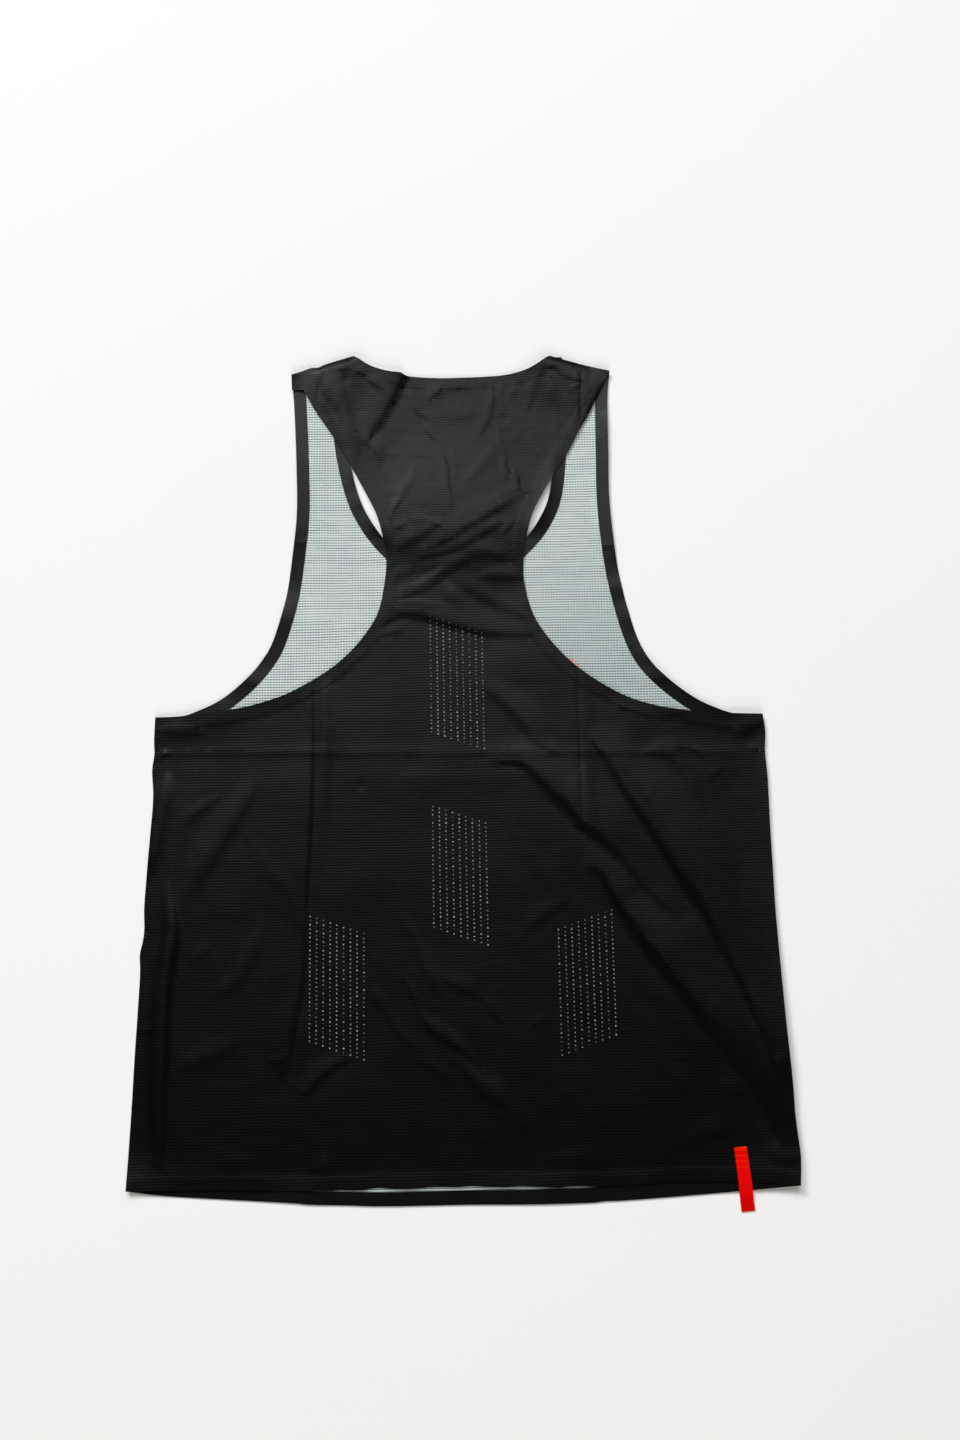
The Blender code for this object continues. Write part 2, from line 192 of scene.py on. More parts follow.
# Folds of the back: how wide each flank is on the left and the right of the crest's direction, and its
# shape from -1, a rounded crest and a crisp foot, to 1, a crisp crest and a soft foot; then the crest
# itself: x, y, height. A negative height is a trough.
BACK_FOLDS = (
    # the left strap and the neck
    ("neck fold", 8, -0.6, 30, 0, ((-44, 666, 2), (-51, 650, 2), (-58, 636, 1.8), (-64, 623, 1.3),
        (-72, 610, 0.6), (-77, 600, 0))),
    ("left strap roll", 20, 0, 14, -0.3, ((-107, 668, 0.5), (-101, 650, 1.6), (-94.5, 623, 1.6),
        (-89, 600, 1.1), (-85, 585, 0.4), (-82, 576, 0))),
    ("left strap rise", 9, 0, 8, -1, ((-98, 662, 0), (-94, 643, 0.42), (-88, 625, 0.48), (-82, 606, 0.36),
        (-79, 590, 0))),
    ("left strap wedge", 3.5, -1, 7, 0, ((-110, 671, 0), (-112, 667, 0.33), (-116, 655, 0.3),
        (-117, 645, 0))),
    ("strap wrinkle a", 5, 0, 4, -0.5, ((-98, 670, 0), (-91, 671.5, 0.52), (-83, 671, 0))),
    ("strap wrinkle b", 5, 0, 3.5, -0.5, ((-84, 668, 0), (-77, 667.5, 0.45), (-71, 665, 0))),
    ("strap wrinkle c", 6, 0, 3.5, -0.5, ((-73, 665, 0), (-66, 658, 0.52), (-57, 651, 0))),
    ("strap blotch", 5, 0, 5, 0, ((-95, 662, 0), (-90, 660, -0.52), (-85, 658, 0))),
    ("strap root a", 7, 0, 3.5, -0.5, ((-80, 620, 0), (-74, 606, 0.37), (-66, 593, 0))),
    ("strap root b", 6, 0, 3.5, -0.5, ((-72, 612, 0), (-67, 601, 0.29), (-61, 591, 0))),
    ("strap root bulge", 8, -0.5, 8, 0, ((-66, 614, 0), (-62, 598, 0.6), (-65, 580, 0))),
    ("short crease", 3, 0, 2.5, 0, ((-55, 596, 0), (-50, 593, 0.24), (-45, 590, 0))),
    ("thin crease", 4, 0.5, 2.5, 0.5, ((-41, 593, 0), (-30, 592, 0.27), (-17, 590, 0))),
    ("centre ridge", 4.5, 0, 5, 0, ((-32, 588, 0), (-35, 570, 0.36), (-41, 560, 0.42), (-46, 551, 0.36),
        (-52, 538, 0))),
    ("neck ripple a", 3.5, 0, 5, 0, ((33, 657, 0), (34, 643, 0.48), (31, 627, 0.48), (26, 615, 0.3),
        (20, 606, 0))),
    ("neck ripple b", 3, 0, 4, 0, ((41, 657, 0), (41, 650, 0.3), (41, 643, 0))),
    ("neck ripple c", 5, 0, 4, 0, ((-36, 656, 0), (-33, 643, 0.45), (-29, 632, 0.48), (-19, 623, 0))),
    ("neck ripple d", 5, 0, 3, 0.3, ((-27, 622, 0), (-19, 612, 0.48), (-12, 602, 0))),
    ("neck ripple e", 4, 0, 4, 0, ((-7, 656, 0), (-14, 649, 0.33), (-22, 641, 0))),
    ("neck ripple f", 4, 0, 5, 0, ((57, 658, 0), (54, 650, 0.33), (50, 640, 0))),
    ("neck arc a", 9, 0, 8, 0, ((-27, 634, 0), (-13, 650, 0.45), (6, 655, 0.3), (18, 652, 0))),
    ("neck arc b", 9, 0, 8, 0, ((-16, 631, 0), (5, 627, 0.45), (26, 633, 0))),
    ("right line a", 5, 0, 3, -0.5, ((39, 620, 0), (39, 602, 0.33), (42, 590, 0.38), (43, 578, 0.33),
        (46, 565, 0))),
    ("right line b", 4, 0, 3, -0.3, ((46, 588, 0), (52, 573, 0.33), (56, 557, 0))),
    ("right patch", 5, 0, 5, 0, ((38, 624, 0), (45, 623, -0.38), (51, 622, 0))),
    ("centre diagonal", 8, 0, 3.5, -0.5, ((39, 606, 0), (29, 591, 0.36), (21, 579, 0.42), (7, 563, 0))),
    ("centre line", 3, 0, 6, 0, ((-11, 600, 0), (-6, 580, 0.52), (-4.5, 562, 0.52), (-1.5, 548, 0.3),
        (1, 538, 0))),
    ("centre line b", 5, 0, 3, 0, ((2, 600, 0), (1.5, 585, 0.24), (1, 567, 0))),
    # the right strap
    ("right strap press a", 4.5, -1, 8, 0, ((106.5, 668, 0), (106, 655, 0.31), (105, 638, 0.31),
        (105, 617, 0))),
    ("right strap press b", 7, 0, 3.5, -1, ((114, 668, 0), (113.5, 655, 0.25), (112.5, 638, 0.25),
        (112, 617, 0))),
    ("right pucker", 7, 0, 4, -0.4, ((73, 668, 0), (81, 671, 0.29), (90, 669.5, 0.42), (96, 663.5, 0.42),
        (106, 658, 0.34), (114, 657, 0))),
    ("right pucker leg", 4, 0, 5, 0, ((75, 667, 0), (70, 653, 0.39), (65, 636, 0.22), (63, 627, 0))),
    ("pucker mark", 3, 0, 3, 0, ((80, 667, 0), (84, 662, 0.28), (88, 657, 0))),
    ("right strap tick", 3, 0, 2.5, 0.5, ((101, 648, 0), (106, 651, 0.22), (112, 654, 0))),
    ("right strap bulge", 6, -0.5, 8, 0, ((83, 662, 0), (85, 648, 0.7), (88, 632, 0.28), (89, 617, 0))),
    ("right strap line", 3, 0, 4, 0, ((87.5, 623, 0), (87.5, 613, 0.22), (88, 603, 0))),
    ("right strap roll", 5, -0.4, 44, 0, ((132, 660, 0.5), (124.5, 650.5, 1.2), (116.5, 635, 1.2),
        (107.5, 616, 0.8), (96, 590.5, 0.3), (87, 573, 0))),
    # the gathers under the racer
    ("gathers rise", 100, 0, 64, 0, ((-64, 533, 1.44), (-30, 534, 3.6), (0, 534, 4.08), (30, 534, 3.72),
        (66, 533, 1.44))),
    ("racer ridge a", 12, 0, 6.75, -0.2, ((-26, 507, 0), (-20, 510, 0.25), (-4, 518.5, 0.56),
        (10, 528.5, 0.75), (25, 537, 0.81), (39, 545.5, 0.69), (53, 554, 0.44), (62, 558, 0.19),
        (69, 561, 0))),
    ("racer ridge a top", 5, 0, 4, 0, ((30, 549, 0), (44, 556, 0.17), (60, 563, 0))),
    ("racer ridge b", 10, 0, 5.85, -0.2, ((-29, 500, 0), (-24, 502.5, 0.31), (-4, 507, 0.5),
        (10, 514, 0.69), (24, 522, 0.69), (34, 527.5, 0.44), (46, 532, 0))),
    ("racer valley", 3.5, -0.3, 4, -0.3, ((-41, 476, 0), (-28, 483.5, -0.25), (-18, 489, -0.3),
        (-7, 495, 0))),
    ("racer hatch", 5, 0, 5, -0.3, ((-51, 486, 0), (-41, 488, 0.29), (-31, 488, 0))),
    ("racer ridge d", 9, 0, 8.1, -0.4, ((-51, 467, 0), (-43, 469.5, 0.33), (-26, 477, 0.53),
        (-14, 486, 0.59), (-2, 494, 0.64), (10, 501.5, 0.69), (19, 505, 0.69), (30, 503.5, 0.53),
        (43, 500.5, 0.33), (54, 497, 0))),
    ("racer ridge e", 6, 0, 6, -0.3, ((17, 482, 0), (28, 484, 0.45), (40, 485, 0.55), (50, 484, 0.41),
        (58, 482, 0))),
    ("racer ridge f", 9, 0.3, 8, -0.2, ((-6, 484, 0), (4, 480, 0.3), (24, 468, 0.6), (45, 456, 0.5),
        (56, 450, 0.25), (63, 446, 0))),
    ("racer soft g", 9, 0, 9, 0, ((-13, 482, 0), (-2, 468, 0.65), (7, 454, 0))),
    ("racer thin h", 3, 0, 2.5, 0.4, ((-51, 463, 0), (-34, 461.5, 0.21), (-20, 460, 0.21), (-7, 459, 0))),
    ("racer ridge r", 8, 0, 6, -0.2, ((-51, 507, 0), (-44, 511, 0.35), (-30, 520, 0.55), (-17, 527, 0.35),
        (-8, 533, 0))),
    ("racer patch a", 5, 0, 4.5, -0.3, ((-39, 531, 0), (-29, 533, 0.29), (-21, 532, 0))),
    ("racer patch b", 3.5, 0.3, 3.5, 0, ((-25, 535, 0), (-17, 531, 0.27), (-8, 525, 0))),
    ("racer spot", 4, 0, 4, -0.3, ((-53, 526, 0), (-46, 528, 0.21), (-39, 527, 0))),
    ("racer fork a", 3, 0, 4, 0, ((-60, 551, 0), (-53, 538, 0.23), (-51, 525, 0))),
    ("racer fork b", 4, 0, 3, 0, ((-45, 557, 0), (-48, 547, 0.18), (-50, 537, 0))),
    ("racer thin a", 3, 0, 2.5, 0.3, ((-43, 541, 0), (-40.5, 531, 0.23), (-38, 522, 0))),
    ("racer short a", 4, 0, 3, 0, ((52, 536, 0), (46, 527, 0.33), (40, 519, 0))),
    ("racer short b", 5, 0, 3, -0.3, ((45, 578, 0), (51, 566, 0.29), (56, 556, 0))),
    ("tuck", 38, 0, 7, -0.5, ((-65, 441, 0), (-56, 448, 0.3), (-45, 454.5, 0.8), (-34, 454.5, 1.1),
        (-20, 451.5, 1.3), (-7, 447, 1.3), (5, 443, 1.1), (20, 438, 0.8), (40, 435.5, 0.5),
        (59, 434.5, 0.3), (68, 434, 0))),
    ("tuck echo", 4, 0, 3, 0, ((-65, 433, 0), (-52, 437, 0.25), (-39, 439, 0))),
    # creases pressed across and down the body
    ("cross crease left", 6, 0, 2, 0.3, ((-244, 339, 0), (-228, 338.7, 0.03), (-213, 338.5, 0.07),
        (-160, 338, 0.08), (-112, 337.3, 0.07), (-80, 337.3, 0.03), (-20, 337, 0))),
    ("cross crease middle", 7, -0.8, 6, 0, ((-52, 330, 0), (-30, 330, 0.06), (0, 329.5, 0.07),
        (40, 328.5, 0.08), (60, 329, 0.04), (80, 330, 0))),
    ("cross crease line", 8, 0, 1.5, 0, ((-46, 338.5, 0), (-18, 338, 0.05), (20, 337.5, 0.05),
        (50, 337, 0))),
    ("cross crease right", 5, 0, 1.5, 0, ((80, 335.5, 0), (97, 335, 0.04), (114, 334.5, 0))),
    ("cross crease far", 5, 0, 1.8, 0.2, ((176, 336, 0), (195, 334, 0.04), (215, 332.7, 0.06),
        (232, 332, 0.05), (246, 332, 0))),
    ("left pressed tube", 9, 0, 4.5, -1, ((-107, 400, 0), (-107, 385, 0.6), (-107, 338, 0.9),
        (-108.5, 300, 0.7), (-110, 268, 0.3), (-111, 240, 0))),
    ("left pressed bulge", 4.5, -1, 18, 0, ((-118.5, 398, 0), (-118.5, 385, 0.4), (-118.2, 336, 0.9),
        (-119.5, 300, 1.1), (-121, 262, 1.2), (-122.5, 235, 1.1), (-123.5, 208, 0.9), (-124.5, 180, 0.8),
        (-125.5, 155, 0.8), (-128, 130, 0.5), (-131, 108, 0))),
    ("right pressed tube", 9, 0, 5, -1, ((104.5, 404, 0), (104.5, 385, 0.29), (104.5, 300, 0.33),
        (105, 278, 0.24), (105, 266, 0))),
    ("right pressed bulge", 3.5, -1, 12, 0, ((96, 404, 0), (95.5, 385, 0.15), (95.5, 300, 0.19),
        (96, 276, 0.13), (97, 240, 0.07), (98, 204, 0))),
    # the right of the body
    ("chest slant", 24, 0, 7, 0.2, ((19, 392, 0), (29, 385, 0.4), (40, 374.5, 0.7), (50, 364.5, 0.8),
        (58, 354, 0.75), (66, 343, 0.5), (78.5, 335, 0.2), (87, 331, 0))),
    ("long diagonal", 48, 0, 8, 0.2, ((22, 327, 0), (34, 328, 0.4), (52, 326, 0.9), (60, 320.5, 1.3),
        (71.5, 308.5, 1.7), (79, 300, 1.9), (88, 292.5, 2.1), (97.5, 280, 2.3), (102, 275, 2.3),
        (113, 267, 2.1), (121, 259, 1.8), (130, 249, 1.4), (140, 235, 1.1), (152, 219, 0.8),
        (164, 207, 0.4), (175, 197, 0))),
    ("lower diagonal", 64, 0, 8, 0.1, ((97, 241, 0), (111.5, 237.5, 1.04), (121, 221, 1.9),
        (128.5, 207, 2.25), (137.5, 194, 2.77), (149, 177.5, 3.29), (158.5, 166, 3.63),
        (175.5, 142.5, 3.9), (191.5, 120.5, 4.3), (208, 100.5, 4.4), (222.5, 79, 4), (229, 66.5, 3.2),
        (234, 54, 2.4), (239, 38, 1.2), (243, 24, 0))),
    ("lower diagonal echo", 26, 0, 8, 0, ((145, 202, 0), (152, 192, 0.25), (171, 161.5, 0.38),
        (191, 134, 0.38), (210, 108, 0.36), (226, 88, 0.3), (236, 71, 0.2), (243, 54, 0))),
    ("outer diagonal", 64, 0, 7.7, 0.1, ((105, 351, 0), (112, 340, 0.65), (121.5, 326.5, 1.17),
        (136, 301, 1.82), (150.5, 279, 2.3), (165, 254, 2.7), (179, 231, 3), (194, 206.5, 3.2),
        (205, 183, 3.2), (215.5, 160.5, 3.2), (227, 133, 3), (235.5, 108, 2.5), (239.5, 93, 1.8),
        (243, 80, 0.9), (246, 68, 0))),
    ("outer diagonal echo", 30, 0, 6, 0, ((123, 347, 0), (130, 337, 0.22), (144, 308, 0.4),
        (161, 280.5, 0.45), (178, 251, 0.45), (196, 222, 0.45), (209, 195, 0.4), (220, 170, 0.3),
        (232, 145, 0.2), (240, 124, 0))),
    ("right ripple", 9, 0, 7, -0.3, ((150, 333, 0), (160, 333, 0.45), (171, 331.5, 0.75), (181, 318, 0.6),
        (189, 302, 0.4), (196, 284, 0))),
    ("right thin a", 4, 0.3, 2, 0.3, ((172, 338, 0), (185, 335.5, 0.16), (195, 332, 0.2), (204, 324, 0))),
    ("right thin b", 2.5, 0, 2.5, 0.3, ((196, 308, 0), (206, 314.5, 0.18), (216, 321, 0))),
    ("corner blob", 8, 0, 8, -0.3, ((222, 345, 0), (232, 351, 0.8), (241, 355, 0.6), (248, 358, 0))),
    ("corner line", 4, 0, 3, 0, ((210, 352, 0), (219, 352, 0.25), (228, 351, 0))),
    ("corner small", 4, 0, 4, 0, ((232, 335, 0), (240, 334, 0.35), (247, 333, 0))),
    ("underarm soft", 6, 0, 6, 0, ((163, 366, 0), (174, 365, 0.35), (185, 363, 0))),
    ("underarm thin", 3, 0, 2.5, 0, ((123, 374, 0), (134, 370, 0.16), (145, 366, 0))),
    ("side patch a", 9, 0.2, 8, 0, ((235, 91, 0), (242, 86, 0.7), (249, 80, 0.3))),
    ("side patch b", 10, 0.2, 8, -0.3, ((227, 23, 0), (238, 19, 0.7), (250, 17, 0.6))),
    ("low soft a", 9, 0, 7, 0, ((154, 83, 0), (168, 74, 0.4), (178, 62, 0.35), (185, 49, 0))),
    ("low soft b", 7, 0, 7, 0, ((193, 73, 0), (206, 69, 0.35), (217, 62, 0))),
    ("low soft c", 9, 0, 8, 0, ((162, 27, 0), (180, 34, 0.4), (196, 36, 0.35), (209, 30, 0))),
    ("hem upright", 6, 0, 3, 0, ((111, 52, 0), (111, 30, 0.18), (110, 7, 0))),
    # the left of the body
    ("left slant", 10, -0.2, 12, 0, ((-157, 322, 0), (-163, 312, 0.22), (-172, 296, 0.65),
        (-183, 278, 0.8), (-194, 260, 0.87), (-204, 245, 0.8), (-211, 231, 0.5), (-216, 220, 0.22),
        (-220, 209, 0))),
    ("left arc", 5, 0, 5, 0, ((-185, 306, 0), (-205, 293, 0.32), (-216, 283, 0.32), (-219, 267, 0))),
    ("left side band", 9, -0.3, 6, 0, ((-233, 324, 0), (-234, 310, 1.35), (-238, 286, 1.62),
        (-243, 257, 1.35), (-246, 236, 0))),
    ("left side faint", 4, 0, 4, 0, ((-229, 267, 0), (-228, 245, 0.28), (-227, 223, 0))),
    ("left side roll", 7, 0, 14, 0, ((-230, 240, 0), (-228, 222, 1.05), (-225, 197, 2.25),
        (-226.7, 178, 2.7), (-229.3, 158, 2.7), (-230.7, 137, 2.7), (-231, 100, 2.7), (-231.7, 82, 2.55),
        (-231.7, 66, 2.4), (-231, 52, 2.1), (-230.6, 40, 1.65), (-230.5, 28, 0.9), (-230, 17, 0))),
    ("left side thin a", 2, 0, 4, 0, ((-240, 207, 0), (-239.5, 180, 0.16), (-239, 157, 0))),
    ("left side thin b", 3, 0, 2.5, 0.3, ((-238, 156, 0), (-239.5, 125, 0.16), (-237, 108, 0.16),
        (-240, 80, 0.12), (-242, 65, 0))),
    ("left edge nick", 4, 0, 3.5, 0, ((-249, 121, 0), (-244, 120, 0.35), (-238, 119, 0))),
    ("left underarm", 6, 0, 5, 0, ((-243, 357, 0), (-230, 357, 0.45), (-215, 356, 0.4), (-199, 355, 0))),
    ("left wedge", 4, 0, 3.5, 0, ((-244, 332, 0), (-238, 337, 0.35), (-227, 341, 0))),
    ("dimple", 6, 0, 6, 0, ((-81, 313, 0), (-77, 309, -0.35), (-73, 305, 0))),
    ("left soft a", 8, 0, 7, 0, ((-153, 205, 0), (-160, 185, 0.4), (-172, 161, 0.5), (-186, 148, 0.3),
        (-195, 143, 0))),
    ("left soft b", 6, 0, 6, 0, ((-191, 189, 0), (-203, 178, 0.3), (-213, 169, 0))),
    ("left soft line", 5, 0, 3, 0, ((-197, 150, 0), (-178, 149.5, 0.08), (-159, 149, 0))),
    ("left low", 9, 0, 8, -0.2, ((-220, 91, 0), (-208, 95, 0.4), (-192, 100, 0.5), (-178, 107, 0.3),
        (-169, 111, 0))),
    ("left valley west", 6, -1, 10, 0, ((-127, 152, 0), (-133, 130, 0.49), (-134.5, 110, 0.59),
        (-137, 95, 0.42), (-139, 77, 0))),
    ("left valley east", 8, 0, 4, -1, ((-115, 140, 0), (-122, 117, 0.25), (-125, 100, 0.25),
        (-129, 80, 0.1), (-131, 71, 0))),
    ("left valley hook", 4, 0, 3.5, 0, ((-151, 96, 0), (-141, 95, 0.3), (-132, 101, 0))),
    ("left branch", 4, -0.3, 7, 0, ((-83, 99, 0), (-92, 94, 0.4), (-103, 88, 0.55), (-112, 80, 0.5),
        (-119, 71, 0.3), (-124, 65, 0))),
    ("left branch back", 3, 0, 4, 0, ((-120, 68, 0), (-127, 74, 0.16), (-134, 83, 0))),
    # the middle of the body
    ("middle a", 8, 0, 6, 0, ((-46, 206, 0), (-41, 197, 0.3), (-34, 183, 0.5), (-30, 170, 0.45),
        (-24, 157, 0.45), (-18, 146, 0.25), (-13, 137, 0))),
    ("middle b", 7, 0, 5, 0, ((-47, 161, 0), (-37, 144, 0.35), (-32, 131, 0.4), (-25, 120, 0.55),
        (-14, 111, 0.75), (-3.5, 104, 0.65), (5, 96, 0.4), (14, 86, 0.2), (19, 79, 0))),
    ("middle c", 6, 0, 5, 0, ((-73, 149, 0), (-65, 141, 0.4), (-58, 131, 0.42), (-50, 118, 0.38),
        (-40, 106, 0.3), (-29, 97, 0))),
    ("middle d", 7, 0, 5, 0, ((-17, 157, 0), (-6, 151, 0.4), (6, 146, 0.42), (14, 137, 0))),
    ("middle e", 5, 0, 7, 0, ((6, 144, 0), (7, 128, 0.38), (9, 112, 0.38), (12, 97, 0))),
    ("middle f", 5, 0, 4, 0, ((14, 145, 0), (22, 134, 0.3), (29, 124, 0.25), (34, 117, 0))),
    ("middle g", 6, 0, 5, 0, ((-39, 99, 0), (-28, 91, 0.3), (-16, 83, 0.3), (-5, 75, 0))),
    ("low slant", 10, 0, 8, 0, ((-9, 98, 0), (2, 87, 0.5), (9, 79, 0.85), (17, 71, 1), (26, 64, 0.95),
        (34, 57, 0.6), (44, 47, 0.25), (51, 39, 0))),
    ("low slant b", 5, 0, 4, 0, ((21, 55, 0), (32, 48, 0.28), (42, 43, 0.22), (51, 36, 0))),
    ("middle tick", 4, 0, 3.5, 0, ((53, 118, 0), (60, 121.5, 0.3), (68, 124, 0))),
    ("middle rise", 8, 0, 6, 0, ((49, 189, 0), (62, 201, 0.38), (74, 209, 0.38), (88, 217, 0))),
    # the hem
    ("hem swell a", 7, 0, 7, 0, ((-194, 18, 0), (-174, 20, 0.35), (-152, 19, 0))),
    ("hem swell b", 7, 0, 6, 0, ((-122, 12, 0), (-107, 15, 0.35), (-92, 14, 0))),
    ("hem swell c", 7, 0, 7, 0, ((58, 16, 0), (92, 18, 0.3), (122, 15, 0))),
    ("hem spot", 3, 0, 3.5, 0, ((-241, 25, 0), (-234, 21, 0.3), (-224, 14, 0))),
)

# Folds of the front that show in the armholes, or lie hidden under the back: the same columns
FRONT_FOLDS = (
    ("left pressed line", 5, 0.8, 5, 0.8, ((-111, 642, 0.3), (-110, 590, 0.48), (-109, 540, 0.54),
        (-108, 480, 0.42), (-109, 425, 0.3), (-112, 330, 0.18), (-114, 120, 0.12))),
    ("right pressed line", 5, 0.8, 5, 0.8, ((106, 640, 0.24), (105, 560, 0.36), (104, 480, 0.42),
        (103, 420, 0.3), (101, 300, 0.18), (100, 120, 0.12))),
    ("left cross line", 6, 0.7, 3, 0.7, ((-130, 515, 0.24), (-100, 514, 0.48), (-62, 512, 0.18))),
    ("right cross line", 6, 0.7, 3, 0.7, ((62, 510, 0.18), (98, 509, 0.42), (131, 508, 0.24))),
    ("lower cross line", 6, 0.6, 3, 0.6, ((-240, 338, 0.12), (-100, 336, 0.24), (100, 333, 0.24),
        (240, 330, 0.12))),
    ("left armhole wave a", 9, 0, 8, 0, ((-128, 600, 0), (-112, 578, 0.6), (-92, 566, 0.12))),
    ("left armhole wave b", 9, 0, 8, 0, ((-136, 470, 0), (-112, 455, 0.54), (-88, 452, 0.12))),
    ("left armhole wave c", 10, 0, 9, 0, ((-180, 400, 0), (-150, 396, 0.54), (-120, 404, 0.18))),
    ("right armhole wave a", 9, 0, 8, 0, ((128, 610, 0), (112, 592, 0.54), (96, 572, 0.12))),
    ("right armhole wave b", 9, 0, 8, 0, ((136, 480, 0), (112, 462, 0.6), (84, 452, 0.12))),
    ("right armhole wave c", 10, 0, 9, 0, ((178, 398, 0), (148, 392, 0.6), (112, 400, 0.18))),
    ("hidden diagonal", 16, 0, 14, 0, ((20, 300, 0), (90, 210, 0.3), (170, 120, 0.3), (210, 60, 0))),
    ("hidden slant", 14, 0, 12, 0, ((-190, 300, 0), (-120, 200, 0.3), (-60, 90, 0))),
)

# Corners that lift off the surface, both panels together: corner, height, reach
CORNER_LIFTS = (
    (HEM_RIGHT, 4.2, 70.0),
    (HEM_LEFT, 3.0, 40.0),
    (SHOULDER_RIGHT, 1.0, 22.0),
    (SHOULDER_LEFT, 2.0, 24.0),
)

# The right side curls up along its seam: y, height
SIDE_CURL = (
    (-4.0, 2.0), (30.0, 4.2), (70.0, 4.6), (120.0, 3.8), (180.0, 3.0), (250.0, 2.8), (310.0, 3.0),
    (362.0, 1.6),
)
SIDE_CURL_REACH = 30.0

# Loose edges that lift off the surface, where they show: the edge, its side of the centre line,
# how far the lift reaches in, then y and height from the hem up
EDGE_LIFTS = (
    ("left_armhole", -1, 40.0, ((364, 0.2), (379, 0.5), (387, 0.1), (399, 0.7), (410, 0.3), (434, 1.1),
        (454, 1.6), (479, 0.2), (521, 2.9), (540, 3), (590, 2.7), (640, 0.8), (666, 0))),
    ("right_armhole", 1, 22.0, ((360, 0.6), (370, 1.2), (385, 1.5), (405, 1.3), (416, 0.9), (432, 0.1),
        (448, 0.8), (461, 0.2), (473, 0.8), (488, 0.2), (512, 1.8), (560, 2), (615, 2.9), (632, 1.6),
        (650, 0.6), (666, 0.2))),
    ("neck", -1, 15.0, ((500, 0), (512, 0.2), (526, 1.6), (531, 1.6), (543, 0.75), (551, 0.9), (562, 0.4),
        (577, 0.9), (598, 0), (610, 0))),
    ("neck", 1, 15.0, ((500, 0), (508, 0.2), (518, 0.2), (532, 2), (540, 1.6), (567, 1.4), (584, 0.8),
        (604, 0))),
    ("hem", 0, 12.0, ((-16, 0.3), (0, 0))),
)

# The back's own loose edges wave a little: how high, how long a wave is and how far it reaches in.
# Noise plus the bias, kept above 0, times the gain is a place's share of that height.
FLUTTER_HEIGHT = 0.35
FLUTTER_WAVE = 30.0
FLUTTER_REACH = 14.0
FLUTTER_SEED = 27.0
FLUTTER_BIAS = 0.12
FLUTTER_GAIN = 1.8

# The rounded fold over each shoulder: how high the back stands there, over how far it rounds up and how
# far down it reaches, and how it flattens towards the corner. The front rises a little there too.
SHOULDER_RISE = 2.6
SHOULDER_ROUND = 5.0
SHOULDER_REACH = 55.0
SHOULDER_CORNER = 134.0
SHOULDER_CORNER_EASE = 30.0
SHOULDER_FRONT_RISE = 1.2

# How loosely the back lies on the front, away from the side seams, and its slow unevenness: height,
# wavelength and seed
BACK_LOFT = 0.30
SEAM_EASE = 22.0
BACK_UNEVEN = (
    (0.55, 62.0, 1.3),
    (0.4 * 0.55, 62.0 / 2.3, 7.7),
)

# The front's unevenness: height, wavelength and seed, and how much of it stays flat
FRONT_UNEVEN = (0.45, 48.0, 4.2)
FRONT_FLAT = 0.9

# The finest creases of the back: faint in the body, whole from CRUMPLE_WHOLE up
CRUMPLE_HEIGHT = 0.085
CRUMPLE_BODY = 0.30
CRUMPLE_FROM = 395.0
CRUMPLE_WHOLE = 470.0

# Their two directions: wavelength, seed, and how much the pattern is drawn out in x and y
CRUMPLE_RIDGES = (
    (11.0, 31.0, (1.0, 1.0)),
    (8.8, 37.0, (1.0, 0.55)),
)

# How far from a side seam the front takes over the back's folds, and how far from its edge the front's
# neck scoop still holds the back up
SEAM_SHARE = 14.0
SCOOP_SAG = 44.0

# The edge of the tape bonded under the back: distance from the cloth's edge, and height there
BONDED_STEP = ((0.0, 0.06), (10.0, 0.06), (10.9, -0.03), (14.0, 0.0))

# Vent fields: middle x and y, and which way the columns step down
VENTS = (
    (0.4, 393.9, 1.0),
    (0.5, 236.5, 1.0),
    (-96.7, 150.4, 1.0),
    (98.1, 151.1, -1.0),
)
VENT_COLUMNS = 9
VENT_ROWS = 30
VENT_COLUMN_PITCH = 5.28
VENT_ROW_PITCH = 3.32
VENT_COLUMN_STEP = 1.82
VENT_RADIUS = 0.71
VENT_LENGTHENING = 1.14
VENT_SIDES = 8

# How much the holes differ in size, and the noise that says which ones
VENT_UNEVEN = 0.34
VENT_NOISE_SCALE = 0.9
VENT_SEED = 5.0

# Over the fields the cloth keeps only this share of its looseness, which comes back over VENT_EASE
VENT_CALM = 0.25
VENT_EASE = 40.0

# A face with its middle this near a hole's centre, in radii, is in the hole; a wall this near is its rim
RADII_IN_VENT = 0.7
RADII_OF_RIM = 1.4

# The hem tab: a tape folded double at its loose end and stitched on the back at its top
TAB_WIDTH = 10.2
TAB_TOP_SHARE = 0.92
TAB_TOP = (210.0, 24.6)
TAB_END = (213.9, -21.9)
TAB_CLOTH = 0.42
TAB_STEPS = 64
TAB_COLUMNS = 9

# The share by which it spans the hollows under it, and its step down past each hem: how far beyond the
# hem the step begins, and over how far it goes
TAB_SPAN = 0.35
TAB_PAST_BACK = (1.0, 3.0)
TAB_PAST_FRONT = (0.5, 9.0)

# Its upper layer: clearance and looseness over the lower one, how its sides curl up, the stitched band
TAB_CLEARANCE = 0.08
TAB_LOOSE = 0.10
TAB_SIDE_CURL = 0.10
TAB_BAND = 4.8
TAB_BAND_EASE = 0.7
TAB_BAND_RISE = 0.45

# Crinkles of the upper layer: height, pitch, where they are strongest, over how far, and the lowest
CRINKLE_HEIGHT = 0.22
CRINKLE_PITCH = 4.3
CRINKLE_MIDDLE = 9.0
CRINKLE_SPREAD = 6.5
CRINKLE_LOWEST = -0.05

